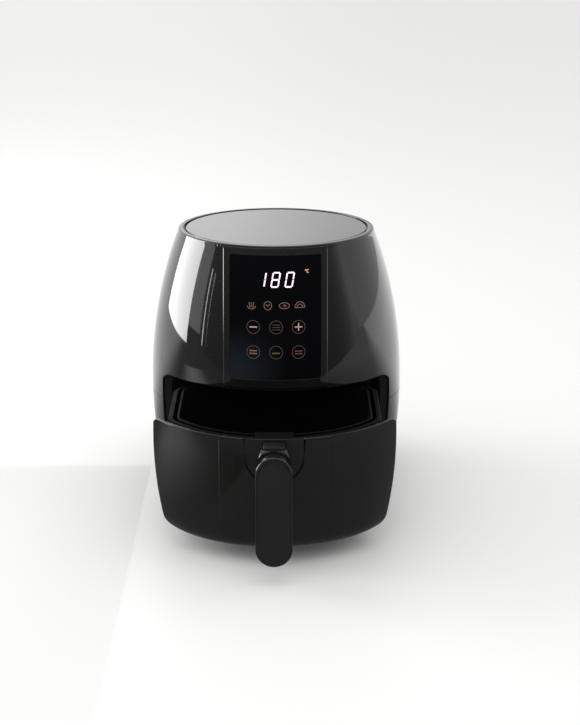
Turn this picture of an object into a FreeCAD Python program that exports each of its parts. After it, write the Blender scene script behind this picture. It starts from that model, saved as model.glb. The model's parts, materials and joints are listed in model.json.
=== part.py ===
import FreeCAD, Part
import math
import os
from FreeCAD import Vector

# Counter-top air fryer with a barrel-shaped housing and a pull-out drawer, in millimetres.
# Every piece is drawn with the drawer shut, about the barrel's upright axis, front towards -Y.
# At the end the drawer is pulled out and the whole moved so that the origin is under its middle.

# Barrel of the housing
barrel_radius = 134.0
barrel_bulge_height = 110.0
barrel_arc_radius = 455.0
rim_height = 275.0
underside_height = 13.0
base_rounding = 20.0
housing_wall = 3.0
seam_height = 102.0
seam_gap = 0.5
seam_tongue = 4.0
seam_tongue_inset = 1.7

# Clearances
fit_gap = 0.2
seat_gap = 0.3
slide_gap = 0.4
running_gap = 0.05

# Rim and lid
rim_width = 5.8
rim_rounding = 2.0
rim_groove = 1.4
lid_drop = 6.0
lid_shelf_width = 9.0
lid_shelf_thickness = 3.0
lid_thickness = 3.0
lid_sink = 0.5
lid_spigot_wall = 2.5
lid_edge_rounding = 1.0

# Drawer opening in the housing
opening_depth = 61.0
opening_top = 131.8
opening_corner = 12.0
opening_side_relief = 0.5
frame_setback = 1.0
frame_thickness = 3.0
frame_strip = 9.8
frame_corner = 14.0
frame_lip = 1.2
frame_lip_reach = 3.0
shelf_rise = 1.2
shelf_thickness = 3.0

# Front band, control glass and display
band_half_width = 53.0
band_proud = 2.0
band_root = 0.8
band_rounding = 1.4
band_top_margin = 2.5
band_bottom_margin = 1.7
drawer_band_low = 42.0
glass_half_width = 45.5
glass_rise = 12.2
glass_top_margin = 7.0
glass_corner = 3.0
glass_thickness = 1.0
glass_sink = 0.15
window_half_width = 36.0
window_bottom_margin = 16.0
window_top_margin = 5.5
window_corner = 4.0
carrier_depth = 15.0
carrier_wall = 2.0
carrier_margin = 4.0
board_thickness = 1.6
led_half_width = 24.0
led_height = 22.0
led_depth = 7.0
led_drop = 21.0

# Base and feet
base_thickness = 5.0
base_margin = 2.0
base_opening_margin = 12.0
base_edge_rounding = 2.0
foot_radius = 11.0
foot_taper = 1.5
foot_recess_radius = 5.2
foot_recess_depth = 3.5
foot_inset = 46.0
foot_angles = (-58.0, 45.0, 135.0, 238.0)
foot_screw_head_radius = 4.0
foot_screw_head_height = 2.2
foot_screw_radius = 1.8
foot_screw_grip = 3.5
base_screw_angles = (-18.0, 30.0, 150.0, 198.0)
base_screw_head_radius = 3.4
base_screw_head_height = 2.2
base_screw_radius = 1.6
vent_slot_length = 46.0
vent_slot_width = 4.0
vent_slot_pitch = 11.0
vent_slot_count = 7

# Pan and basket
tub_front_gap = 17.0
tub_rear_gap = 26.0
tub_side_gap = 8.5
tub_corner = 24.0
tub_draft = 5.0
tub_bottom_rounding = 7.0
pan_low = 20.0
pan_drop = 5.8
pan_wall = 1.5
pan_rim_width = 3.0
pan_bump_radius = 6.0
pan_bump_inset = 55.0
basket_inset = 6.5
basket_wall = 1.2
basket_lift = 6.0
basket_drop = 5.0
basket_rim_width = 2.4
basket_rim_height = 2.0
basket_ledge = 6.0
basket_floor_thickness = 1.2
hole_radius = 3.8
hole_pitch = 21.0
hole_margin = 9.0
bumper_radius = 4.0
bumper_length = 5.0
bumper_inset = 57.0
runner_spread = 40.0
runner_width = 10.0
runner_front_gap = 41.0
runner_back = 56.0

# Drawer front
drawer_gap = 1.0
fascia_low = 14.0
fascia_drop = 2.0
fascia_corner = 7.0
fascia_return = 14.0
notch_half_width = 28.4
notch_depth = 44.0
notch_gap = 0.9
inner_carrier_low = 30.0
inner_carrier_drop = 8.3
inner_carrier_plate = 2.5
inner_carrier_half_width = 92.0
magnet_radius = 4.5
magnet_height = 5.0
magnet_x = 76.0
reed_size = (12.0, 6.0, 6.0)
reed_inset = 5.0

# Handle
handle_reach = 45.0
grip_half_width = 17.3
grip_thickness = 16.0
grip_low = 19.0
grip_drop = 5.8
grip_front_rounding = 2.6
grip_back_rounding = 5.0
insert_margin = 2.4
insert_thickness = 1.6
insert_top_margin = 5.0
neck_half_width = 12.8
neck_corner = 2.6
neck_height = 28.0
neck_drop = 4.8
neck_flare_start = 21.0
neck_flare_share = 0.3
neck_end_rounding = 14.0
neck_end_inset = 0.6
bracket_half_width = 18.0
bracket_thickness = 1.5
bracket_leg = 30.0
bracket_window = 1.2
pad_setback = 5.0
handle_screw_radius = 1.8
handle_screw_head = 3.4
handle_screw_spread = 12.0
handle_screw_drop = 24.0
handle_screw_length = 14.0

# Release button on the neck of the handle
button_half_width = 10.0
button_length = 19.0
button_height = 8.1
button_rise = 0.8
button_travel = 3.0
button_rounding = 0.8
spring_radius = 4.2
spring_wire = 0.45
spring_turns = 5
spring_well_depth = 11.0
latch_half_width = 5.0
latch_thickness = 2.0
latch_drop = 4.7
barb_height = 2.5
barb_thickness = 1.7
keeper_bar = 1.5
keeper_height = 3.0
keeper_cheek = 2.0

# Heating chamber
liner_wall = 1.5
liner_low = 42.0
liner_rear_gap = 16.0
liner_rest_width = 4.0
liner_rest_angles = (60.0, 90.0, 120.0)
chamber_gap = 29.0
chamber_height = 42.0
heater_drop = 26.5
heater_radius = 3.25
heater_margin = 33.0
heater_pitch = 10.0
heater_half_turns = 4
heater_bend = 10.0
heater_terminal_rise = 14.0
insulator_wall = 2.7
insulator_flange = 2.0
insulator_height = 8.0
clip_thickness = 1.5
clip_leg = 4.0
clip_margin = 3.0

# Motor, shaft and fans
shaft_radius = 4.0
shaft_hole_radius = 8.0
fan_tip_gap = 10.0
fan_plate = 1.2
fan_drop = 3.0
fan_blade_height = 12.0
fan_blade_count = 9
fan_hub_radius = 10.0
blade_thickness = 1.2
blade_curve = 46.0
nut_height = 4.0
nut_radius = 8.0
shield_gap = 12.0
shield_height = 8.0
shield_wall = 1.2
bracket_rise = 15.0
bracket_plate = 2.0
motor_bracket_width = 30.0
motor_foot_length = 10.0
motor_radius = 29.0
motor_length = 28.0
motor_boss_radius = 11.0
motor_boss_height = 4.0
motor_rounding = 3.0
motor_screw_circle = 20.0
motor_screw_radius = 1.5
motor_screw_head = 2.8
motor_screw_grip = 6.0
cooling_fan_radius = 34.0
cooling_fan_gap = 3.0
cooling_fan_height = 8.0
cooling_blade_count = 7
cooling_blade_curve = 26.0
shaft_tip = 3.0

# Electrical pieces above the chamber
cutout_radius = 8.0
cutout_height = 6.0
cutout_tab = 2.0
sensor_radius = 2.5
sensor_flange = 6.0
sensor_dip = 12.0
sensor_place = (58.0, -52.0)
power_board_gap = 37.0
power_board_size = (64.0, 46.0)
power_board_lift = 2.0
transformer_size = (16.0, 20.0, 22.0)
transformer_place = (-16.0, 27.0)
relay_size = (12.0, 14.0, 18.0)
relay_place = (11.0, 27.0)
capacitor_radius = 5.0
capacitor_length = 14.0
capacitor_place = (25.0, 24.0)
board_bracket_size = (8.0, 12.0, 1.5)
board_bracket_spread = 24.0

# Vents and cord gland at the rear
grille_half_width = 38.0
grille_drop = 5.0
grille_height = 26.0
grille_corner = 4.0
grille_slot = 2.6
grille_slot_pitch = 5.0
grille_slot_count = 4
grille_rib = 3.0
duct_wall = 2.5
duct_lap = 1.0
intake_slot_width = 2.4
intake_slot_pitch = 7.0
intake_slot_count = 11
intake_drop = 25.0
intake_height = 35.0
gland_height = 60.0
gland_bore = 3.6
gland_body = 8.0
gland_flange = 11.0
gland_lip = 2.4
gland_tail = 6.0

# The drawer stands this far out in the stored pose
drawer_out = 149.0

# Values worked out from the sizes above
span = 5.0 * barrel_radius
front_plane = -opening_depth
opening_half_width = math.sqrt(barrel_radius ** 2 - opening_depth ** 2) + opening_side_relief
frame_front = front_plane + frame_setback
frame_back = frame_front + frame_thickness
frame_half_width = opening_half_width - opening_side_relief - frame_strip
shelf_low = opening_top + shelf_rise
shelf_high = shelf_low + shelf_thickness
base_top = underside_height
base_bottom = underside_height - base_thickness
lid_seat = rim_height - lid_drop
band_top = rim_height - band_top_margin
glass_low = opening_top + glass_rise
glass_high = band_top - glass_top_margin
window_low = glass_low + window_bottom_margin
window_high = glass_high - window_top_margin
led_centre = window_high - led_drop
intake_high = rim_height - intake_drop
intake_low = intake_high - intake_height
ceiling_high = shelf_high + chamber_height
ceiling_low = ceiling_high - liner_wall
grille_high = ceiling_high - grille_drop
grille_low = grille_high - grille_height
chamber_radius = barrel_radius - chamber_gap
heater_first_turn = chamber_radius - heater_margin
fan_radius = heater_first_turn - fan_tip_gap
shield_radius = heater_first_turn - shield_gap
foot_circle = barrel_radius - foot_inset
power_board_x = power_board_gap - barrel_radius
runner_front = barrel_radius - runner_front_gap
liner_half_width = frame_half_width
liner_rear = barrel_radius - liner_rear_gap
heater_height = ceiling_low - heater_drop
tub_front = barrel_radius - tub_front_gap
pan_bump_spread = tub_front - pan_bump_inset
bumper_spread = tub_front - bumper_inset
tub_rear = barrel_radius - tub_rear_gap
tub_half_width = frame_half_width - tub_side_gap
pan_high = opening_top - pan_drop
basket_low = pan_low + basket_lift
basket_high = opening_top - basket_drop
fascia_plane = front_plane - drawer_gap
fascia_high = opening_top - fascia_drop
handle_front = -(barrel_radius + handle_reach)
grip_back = handle_front + grip_thickness
grip_high = opening_top - grip_drop
neck_high = opening_top - neck_drop
neck_low = neck_high - neck_height
plate_face = -(barrel_radius + band_proud)
pad_back = -(barrel_radius - pad_setback)
button_back = plate_face - seat_gap
button_front = button_back - button_length
button_middle = (button_back + button_front) / 2.0
button_high = neck_high + button_rise
button_low = button_high - button_height
well_floor = button_low - button_travel - slide_gap - spring_well_depth
latch_high = button_low - latch_drop
shield_top = ceiling_high + shield_height
bracket_low = ceiling_high + bracket_rise
bracket_high = bracket_low + bracket_plate
motor_top = bracket_high + motor_length
cooling_low = motor_top + motor_boss_height + cooling_fan_gap
cooling_high = cooling_low + cooling_fan_height
fan_high = ceiling_low - fan_drop
fan_low = fan_high - fan_plate - fan_blade_height
footprint_shift = (handle_reach + drawer_out) / 2.0


def box(x0, x1, y0, y1, z0, z1):
    return Part.makeBox(x1 - x0, y1 - y0, z1 - z0, Vector(x0, y0, z0))


def post(radius, z0, z1, x=0.0, y=0.0):
    return Part.makeCylinder(radius, z1 - z0, Vector(x, y, z0))


def tube(outer, inner, z0, z1, x=0.0, y=0.0):
    return post(outer, z0, z1, x, y).cut(post(inner, z0, z1, x, y))


def slab(low, high):
    return box(-span, span, -span, span, low, high)


def ahead_of(y):
    return box(-span, span, -span, y, -span, span)


def behind(y):
    return box(-span, span, y, span, -span, span)


def turned(shape, angle):
    copy = shape.copy()
    copy.rotate(Vector(0, 0, 0), Vector(0, 0, 1), angle)
    return copy


def joined(first, *others):
    return first.fuse(list(others)).removeSplitter()


def edges_along(shape, direction):
    chosen = []
    for edge in shape.Edges:
        if isinstance(edge.Curve, Part.Line):
            if abs(edge.tangentAt(edge.FirstParameter).dot(direction)) > 0.99:
                chosen.append(edge)
    return chosen


def upright_plate(half_width, low, high, corner, y0, y1):
    # plate across the front or rear, with four rounded corners
    plate = box(-half_width, half_width, y0, y1, low, high)
    return plate.makeFillet(corner, edges_along(plate, Vector(0, 1, 0)))


def arch(half_width, high, corner, y0, y1):
    # gate with two rounded top corners, open below the floor
    gate = box(-half_width, half_width, y0, y1, -span, high)
    tops = [edge for edge in edges_along(gate, Vector(0, 1, 0)) if edge.CenterOfMass.z > 0]
    return gate.makeFillet(corner, tops)


def polar(radius, angle):
    turn = math.radians(angle)
    return radius * math.cos(turn), radius * math.sin(turn)


# Barrel: a side arc, a base rounding and a flat underside, turned about the upright axis.

def side_centre():
    return barrel_radius - barrel_arc_radius, barrel_bulge_height


def rounding_centre():
    rise = barrel_bulge_height - underside_height - base_rounding
    reach = math.sqrt((barrel_arc_radius - base_rounding) ** 2 - rise ** 2)
    return side_centre()[0] + reach, underside_height + base_rounding


def side_reach(height, inset=0.0):
    # radius of the barrel at a height
    round_r, round_z = rounding_centre()
    side_r, side_z = side_centre()
    blend = math.atan2(round_z - side_z, round_r - side_r)
    if height < side_z + (barrel_arc_radius - inset) * math.sin(blend):
        return round_r + math.sqrt((base_rounding - inset) ** 2 - (height - round_z) ** 2)
    return side_r + math.sqrt((barrel_arc_radius - inset) ** 2 - (height - side_z) ** 2)


def barrel(inset, top_rounding=0.0):
    round_r, round_z = rounding_centre()
    side_r, side_z = side_centre()
    arc = barrel_arc_radius - inset
    rounding = base_rounding - inset
    blend = math.atan2(round_z - side_z, round_r - side_r)
    floor = underside_height + inset

    def on_rounding(angle):
        return Vector(round_r + rounding * math.cos(angle), 0, round_z + rounding * math.sin(angle))

    def on_side(height):
        return Vector(side_r + math.sqrt(arc ** 2 - (height - side_z) ** 2), 0, height)

    start = on_rounding(-math.pi / 2.0)
    meet = on_rounding(blend)
    edges = [
        Part.LineSegment(Vector(0, 0, floor), start).toShape(),
        Part.Arc(start, on_rounding((blend - math.pi / 2.0) / 2.0), meet).toShape(),
    ]
    if top_rounding > 0:
        top_z = rim_height - top_rounding
        top_r = side_r + math.sqrt((arc - top_rounding) ** 2 - (top_z - side_z) ** 2)
        lean = math.atan2(top_z - side_z, top_r - side_r)
        middle = (lean + math.pi / 2.0) / 2.0
        leave = Vector(side_r + arc * math.cos(lean), 0, side_z + arc * math.sin(lean))
        crown = Vector(top_r + top_rounding * math.cos(middle), 0, top_z + top_rounding * math.sin(middle))
        top = Vector(top_r, 0, rim_height)
        edges.append(Part.Arc(meet, on_side((meet.z + leave.z) / 2.0), leave).toShape())
        edges.append(Part.Arc(leave, crown, top).toShape())
    else:
        top = on_side(rim_height)
        edges.append(Part.Arc(meet, on_side((meet.z + rim_height) / 2.0), top).toShape())
    edges.append(Part.LineSegment(top, Vector(0, 0, rim_height)).toShape())
    edges.append(Part.LineSegment(Vector(0, 0, rim_height), Vector(0, 0, floor)).toShape())
    return Part.Face(Part.Wire(edges)).revolve(Vector(0, 0, 0), Vector(0, 0, 1), 360)


def barrel_shell(outer, inner):
    return barrel(outer).cut(barrel(inner))


def rim_radius():
    return side_reach(rim_height) - rim_width


def lid_radius():
    return rim_radius() - rim_groove


def base_radius():
    return rounding_centre()[0] - base_margin


def base_opening():
    return rounding_centre()[0] - base_opening_margin


def base_screw_circle():
    return (base_radius() + base_opening()) / 2.0


# Housing

def display_window(y0, y1):
    return upright_plate(window_half_width, window_low, window_high, window_corner, y0, y1)


def grille_window(margin):
    return upright_plate(grille_half_width - margin, grille_low + margin, grille_high - margin,
                         grille_corner, 0.0, span)


def intake_slots():
    first = -(intake_slot_count - 1) * intake_slot_pitch / 2.0
    slots = []
    for index in range(intake_slot_count):
        middle = first + index * intake_slot_pitch
        half = intake_slot_width / 2.0
        slots.append(box(middle - half, middle + half, 0.0, span, intake_low, intake_high))
    return slots


def upper_shell():
    body = barrel(0.0, rim_rounding)
    wall = body.cut(barrel(housing_wall)).common(slab(seam_height + seam_gap / 2.0, rim_height))
    rim = body.common(slab(lid_seat - lid_shelf_thickness, rim_height))
    rim = rim.cut(post(rim_radius(), lid_seat, rim_height))
    rim = rim.cut(post(rim_radius() - lid_shelf_width, lid_seat - lid_shelf_thickness, lid_seat))
    groove = barrel_shell(seam_tongue_inset - fit_gap, housing_wall)
    groove = groove.common(slab(seam_height, seam_height + seam_tongue))
    opening = arch(opening_half_width, opening_top, opening_corner, -span, front_plane)
    cuts = [groove, opening, display_window(-span, 0.0), grille_window(0.0)] + intake_slots()
    return joined(wall, rim).cut(cuts)


def liner_rests():
    # three upright ribs under the rear wall of the liner
    half = liner_rest_width / 2.0
    foot = underside_height + housing_wall / 2.0
    rib = box(liner_rear - half, span, -half, half, foot, liner_low)
    return [turned(rib, angle).common(barrel(housing_wall / 2.0)) for angle in liner_rest_angles]


def lower_shell():
    wall = barrel_shell(0.0, housing_wall).common(slab(0.0, seam_height - seam_gap / 2.0))
    tongue = barrel_shell(seam_tongue_inset, housing_wall)
    tongue = tongue.common(slab(seam_height - seam_tongue, seam_height + seam_tongue))
    shell = joined(wall, tongue, *liner_rests())
    shell = shell.common(behind(front_plane))
    cuts = [post(base_opening(), 0.0, underside_height + housing_wall)]
    cuts.append(gland_hole())
    for angle in base_screw_angles:
        x, y = polar(base_screw_circle(), angle)
        cuts.append(post(base_screw_radius + fit_gap / 2.0, 0.0, underside_height + housing_wall, x, y))
    return shell.cut(cuts)


def base_plate():
    plate = post(base_radius(), base_bottom, base_top)
    lower_edge = [edge for edge in plate.Edges if abs(edge.CenterOfMass.z - base_bottom) < 0.01]
    plate = plate.makeFillet(base_edge_rounding, lower_edge)
    cuts = []
    foot_hole_top = base_bottom + foot_screw_grip + fit_gap
    for angle in foot_angles:
        x, y = polar(foot_circle, angle)
        cuts.append(post(foot_screw_radius + fit_gap / 2.0, base_bottom, foot_hole_top, x, y))
    for angle in base_screw_angles:
        x, y = polar(base_screw_circle(), angle)
        cuts.append(post(base_screw_radius + fit_gap / 2.0, base_bottom, base_top, x, y))
    first = -(vent_slot_count - 1) * vent_slot_pitch / 2.0
    reach = vent_slot_length / 2.0
    half = vent_slot_width / 2.0
    for index in range(vent_slot_count):
        middle = first + index * vent_slot_pitch
        cuts.append(box(-reach, reach, middle - half, middle + half, base_bottom, base_top))
    return plate.cut(cuts)


def rubber_feet():
    feet = []
    for angle in foot_angles:
        x, y = polar(foot_circle, angle)
        foot = Part.makeCone(foot_radius - foot_taper, foot_radius, base_bottom, Vector(x, y, 0))
        foot = foot.cut(post(foot_recess_radius, 0.0, foot_recess_depth, x, y))
        feet.append(foot.cut(post(foot_screw_radius + fit_gap / 2.0, 0.0, base_bottom, x, y)))
    return Part.makeCompound(feet)


def foot_screws():
    screws = []
    for angle in foot_angles:
        x, y = polar(foot_circle, angle)
        head = post(foot_screw_head_radius, foot_recess_depth - foot_screw_head_height, foot_recess_depth, x, y)
        shank = post(foot_screw_radius, foot_recess_depth, base_bottom + foot_screw_grip, x, y)
        screws.append(joined(head, shank))
    return Part.makeCompound(screws)


def base_screws():
    screws = []
    for angle in base_screw_angles:
        x, y = polar(base_screw_circle(), angle)
        head = post(base_screw_head_radius, base_bottom - base_screw_head_height, base_bottom, x, y)
        shank = post(base_screw_radius, base_bottom, base_top + housing_wall, x, y)
        screws.append(joined(head, shank))
    return Part.makeCompound(screws)


def band(low, high, open_top):
    # raised strip that follows the barrel, with rounded outer edges
    strip = barrel_shell(-band_proud, band_root)
    strip = strip.common(box(-band_half_width, band_half_width, -span, 0.0, low, high))
    outer = []
    for edge in strip.Edges:
        place = edge.valueAt((edge.FirstParameter + edge.LastParameter) / 2.0)
        proud = math.hypot(place.x, place.y) - side_reach(place.z, -band_proud)
        at_top = place.z > high - band_rounding / 2.0
        if abs(proud) < 0.05 and not (open_top and at_top):
            outer.append(edge)
    return strip.makeFillet(band_rounding, outer)


def glass_outline(margin):
    half_width = glass_half_width + margin
    return upright_plate(half_width, glass_low - margin, glass_high + margin, glass_corner, -span, 0.0)


def front_panel():
    panel = band(opening_top + band_bottom_margin, band_top, False).cut(barrel(0.0))
    pocket = glass_outline(fit_gap).cut(barrel(glass_thickness + glass_sink - band_proud))
    return panel.cut([pocket, display_window(-span, 0.0)])


def control_glass():
    skin = barrel_shell(glass_sink - band_proud, glass_sink + glass_thickness - band_proud)
    return skin.common(glass_outline(0.0))


def display_tilt():
    slope = side_reach(window_low) - side_reach(window_high)
    return math.degrees(math.atan2(slope, window_high - window_low))


def leaned(shape):
    # lays a shape that is drawn upright at the origin against the window's slope
    middle = (window_low + window_high) / 2.0
    seat = Vector(0, -side_reach(middle, housing_wall), middle)
    copy = shape.copy()
    copy.Placement = FreeCAD.Placement(seat, FreeCAD.Rotation(Vector(1, 0, 0), -display_tilt()))
    return copy


def carrier_half_height():
    return (window_high - window_low) / 2.0 + carrier_margin


def carrier_half_width():
    return window_half_width + carrier_margin


def display_carrier():
    half_width = carrier_half_width()
    half_height = carrier_half_height()
    block = box(-half_width, half_width, -carrier_depth, carrier_depth, -half_height, half_height)
    inside = box(carrier_wall - half_width, half_width - carrier_wall, -span, carrier_depth - carrier_wall,
                 carrier_wall - half_height, half_height - carrier_wall)
    return leaned(block.cut(inside)).common(barrel(housing_wall))


def display_board():
    half_width = carrier_half_width() - carrier_wall - fit_gap
    half_height = carrier_half_height() - carrier_wall - fit_gap
    back = carrier_depth - carrier_wall
    return leaned(box(-half_width, half_width, back - board_thickness, back, -half_height, half_height))


def led_display():
    middle = led_centre - (window_low + window_high) / 2.0
    back = carrier_depth - carrier_wall - board_thickness
    half = led_height / 2.0
    return leaned(box(-led_half_width, led_half_width, back - led_depth, back, middle - half, middle + half))


def top_cover():
    cover = post(lid_radius(), lid_seat, lid_seat + lid_thickness)
    inner = rim_radius() - lid_shelf_width - fit_gap
    spigot = tube(inner, inner - lid_spigot_wall, lid_seat - lid_shelf_thickness, lid_seat)
    return joined(cover, spigot)


def top_panel():
    panel = post(lid_radius(), lid_seat + lid_thickness, rim_height - lid_sink)
    top_edge = [edge for edge in panel.Edges if abs(edge.CenterOfMass.z - (rim_height - lid_sink)) < 0.01]
    return panel.makeFillet(lid_edge_rounding, top_edge)


def bay_frame():
    # two legs beside the drawer, a lip in front of them and a shelf round the chamber's mouth
    plate = box(-span, span, frame_front, frame_back, 0.0, shelf_high)
    shelf = box(-span, span, -span, frame_back, shelf_low, shelf_high)
    solid = barrel(housing_wall).common(joined(plate, shelf))
    lip = arch(frame_half_width + frame_lip, shelf_low + frame_lip, frame_corner + frame_lip,
               frame_front - frame_lip_reach, frame_front)
    lip = lip.common(slab(seam_height, shelf_high))
    gate = arch(frame_half_width, shelf_low, frame_corner, -span, span)
    return joined(solid, lip).cut([gate, post(chamber_radius, 0.0, shelf_high)]).removeSplitter()


def drawer_runners():
    runners = []
    for side in (-1.0, 1.0):
        middle = side * runner_spread
        half = runner_width / 2.0
        runner = box(middle - half, middle + half, -runner_front, runner_back, base_top, pan_low - seat_gap)
        edges = [edge for edge in edges_along(runner, Vector(1, 0, 0)) if edge.CenterOfMass.z > base_top + 1.0]
        runners.append(runner.makeChamfer((pan_low - seat_gap - base_top) / 2.0, edges))
    return Part.makeCompound(runners)


# Heating chamber

def terminal_places():
    first = heater_first_turn - heater_pitch / 4.0
    last = heater_first_turn + (heater_half_turns - 1) * heater_pitch / 2.0 + heater_pitch / 4.0
    return (heater_bend, first), (-heater_bend, last)


def liner_plan(inset):
    # plan of the drawer's tunnel: straight sides and a rear arc about the barrel's axis
    half_width = liner_half_width + liner_wall - inset
    rear = post(liner_rear + liner_wall - inset, liner_low, shelf_high)
    rear = rear.common(box(-half_width, half_width, 0.0, span, -span, span))
    return joined(rear, box(-half_width, half_width, -span, 0.0, liner_low, shelf_high))


def exhaust_rows():
    first = (grille_low + grille_high - (grille_slot_count - 1) * grille_slot_pitch) / 2.0
    return [first + index * grille_slot_pitch for index in range(grille_slot_count)]


def chamber_liner():
    # tunnel round the drawer, with a round chamber on top
    tunnel = liner_plan(0.0).cut(liner_plan(liner_wall)).common(behind(frame_back))
    step = liner_plan(0.0).common(behind(frame_back)).common(slab(shelf_high - liner_wall, shelf_high))
    step = step.cut(post(chamber_radius, 0.0, shelf_high))
    drum = post(chamber_radius + liner_wall, shelf_high, ceiling_high)
    drum = drum.cut(post(chamber_radius, shelf_high, ceiling_low))
    cuts = [post(shaft_hole_radius, ceiling_low, ceiling_high)]
    for x, y in terminal_places():
        cuts.append(post(heater_radius + insulator_wall + fit_gap, ceiling_low, ceiling_high, x, y))
    sensor_x, sensor_y = sensor_place
    cuts.append(post(sensor_radius + fit_gap, ceiling_low, ceiling_high, -sensor_x, sensor_y))
    half = grille_slot / 2.0
    reach = grille_half_width - grille_corner
    for middle in exhaust_rows():
        cuts.append(box(-reach, reach, chamber_radius / 2.0, span, middle - half, middle + half))
    return joined(tunnel, step, drum.cut(cuts))


def half_turn(index):
    # centre and radius of one half turn of the heater's spiral
    centre = -heater_pitch / 4.0 if index % 2 == 0 else heater_pitch / 4.0
    return centre, heater_first_turn + index * heater_pitch / 2.0


def heater_path():
    top = ceiling_high + heater_terminal_rise
    bend = heater_bend
    side = bend * math.sqrt(0.5)
    (first_x, first_y), (last_x, last_y) = terminal_places()
    z = heater_height
    start = Vector(0, first_y, z)
    lift = Vector(first_x, first_y, z + bend)
    edges = [
        Part.LineSegment(Vector(first_x, first_y, top), lift).toShape(),
        Part.Arc(lift, Vector(side, first_y, z + bend - side), start).toShape(),
    ]
    place = start
    for index in range(heater_half_turns):
        centre, radius = half_turn(index)
        facing = 1.0 if index % 2 == 0 else -1.0
        middle = Vector(-facing * radius, centre, z)
        finish = Vector(0, centre - facing * radius, z)
        edges.append(Part.Arc(place, middle, finish).toShape())
        place = finish
    rise = Vector(last_x, last_y, z + bend)
    edges.append(Part.Arc(place, Vector(-side, last_y, z + bend - side), rise).toShape())
    edges.append(Part.LineSegment(rise, Vector(last_x, last_y, top)).toShape())
    return Part.Wire(edges)


def heating_element():
    x, y = terminal_places()[0]
    ring = Part.Circle(Vector(x, y, ceiling_high + heater_terminal_rise), Vector(0, 0, 1), heater_radius)
    return heater_path().makePipeShell([Part.Wire(ring.toShape())], True, False)


def heater_clips():
    clips = []
    eye = heater_radius + fit_gap
    half = clip_thickness / 2.0
    low = heater_height - eye - clip_margin
    high = heater_height + eye + clip_margin
    for side, first in ((180.0, 0), (0.0, 1)):
        reaches = []
        for index in range(first, heater_half_turns, 2):
            centre, radius = half_turn(index)
            reaches.append(math.sqrt(radius ** 2 - centre ** 2))
        outer = max(reaches) + eye + clip_margin
        plate = box(min(reaches) - eye - clip_margin, outer, -half, half, low, high)
        leg = box(outer - clip_leg, outer, -half, half, heater_height, ceiling_low)
        clip = joined(plate, leg)
        for reach in reaches:
            start = Vector(reach, -clip_thickness, heater_height)
            clip = clip.cut(Part.makeCylinder(eye, 2.0 * clip_thickness, start, Vector(0, 1, 0)))
        clips.append(turned(clip, side))
    return Part.makeCompound(clips)


def heater_insulators():
    insulators = []
    body = heater_radius + insulator_wall
    for x, y in terminal_places():
        stem = post(body, ceiling_low - insulator_height / 2.0, ceiling_high + insulator_height, x, y)
        flange = post(body + insulator_flange, ceiling_high, ceiling_high + insulator_flange, x, y)
        insulators.append(joined(stem, flange).cut(post(heater_radius, 0.0, rim_height, x, y)))
    return Part.makeCompound(insulators)


def heat_shield():
    dish = post(shield_radius, ceiling_high, shield_top)
    hollow = post(shield_radius - shield_wall, ceiling_high, shield_top - shield_wall)
    return dish.cut([hollow, post(shaft_hole_radius, ceiling_high, shield_top)])


# Motor and fans

def motor_bracket():
    half = motor_bracket_width / 2.0
    reach = shield_radius + motor_foot_length / 2.0
    bridge = box(-reach, reach, -half, half, bracket_low, bracket_high)
    leg = box(reach - bracket_plate, reach, -half, half, ceiling_high, bracket_high)
    foot = box(reach - bracket_plate, reach + motor_foot_length, -half, half,
               ceiling_high, ceiling_high + bracket_plate)
    bracket = joined(bridge, leg, foot, turned(leg, 180.0), turned(foot, 180.0))
    cuts = [post(motor_boss_radius + fit_gap, bracket_low, bracket_high)]
    for x in (-motor_screw_circle, motor_screw_circle):
        cuts.append(post(motor_screw_radius + fit_gap / 2.0, bracket_low, bracket_high, x))
    return bracket.cut(cuts)


def motor():
    can = post(motor_radius, bracket_high, motor_top)
    rims = [edge for edge in can.Edges if isinstance(edge.Curve, Part.Circle)]
    can = can.makeFillet(motor_rounding, rims)
    lower = post(motor_boss_radius, bracket_high - motor_boss_height, bracket_high + motor_rounding)
    upper = post(motor_boss_radius, motor_top - motor_rounding, motor_top + motor_boss_height)
    cuts = [post(shaft_radius + running_gap, 0.0, rim_height)]
    for x in (-motor_screw_circle, motor_screw_circle):
        cuts.append(post(motor_screw_radius + fit_gap / 2.0, bracket_high, bracket_high + motor_screw_grip, x))
    return joined(can, lower, upper).cut(cuts)


def motor_screws():
    screws = []
    for x in (-motor_screw_circle, motor_screw_circle):
        head = post(motor_screw_head, bracket_low - motor_screw_head / 2.0, bracket_low, x)
        shank = post(motor_screw_radius, bracket_low, bracket_high + motor_screw_grip - fit_gap, x)
        screws.append(joined(head, shank))
    return Part.makeCompound(screws)


def blades(radius, low, high, count, curve):
    # backward-curved blades, each a slice of a thin tube between hub and tip
    band_ring = tube(radius, fan_hub_radius - blade_thickness, low, high)
    wall = tube(curve + blade_thickness, curve, low, high, curve, 0.0).common(band_ring)
    blade = max(wall.Solids, key=lambda solid: solid.CenterOfMass.y)
    return [turned(blade, index * 360.0 / count) for index in range(count)]


def circulation_fan():
    under = fan_high - fan_plate
    plate = post(fan_radius, under, fan_high)
    hub = post(fan_hub_radius, fan_low, fan_high)
    wheel = joined(plate, hub, *blades(fan_radius, fan_low, under, fan_blade_count, blade_curve))
    return wheel.cut(post(shaft_radius, 0.0, rim_height))


def cooling_fan():
    above = cooling_low + fan_plate
    plate = post(cooling_fan_radius, cooling_low, above)
    hub = post(fan_hub_radius, cooling_low, cooling_high)
    vanes = blades(cooling_fan_radius, above, cooling_high, cooling_blade_count, cooling_blade_curve)
    return joined(plate, hub, *vanes).cut(post(shaft_radius, 0.0, rim_height))


def motor_shaft():
    return post(shaft_radius, fan_low - nut_height, cooling_high + shaft_tip)


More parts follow.
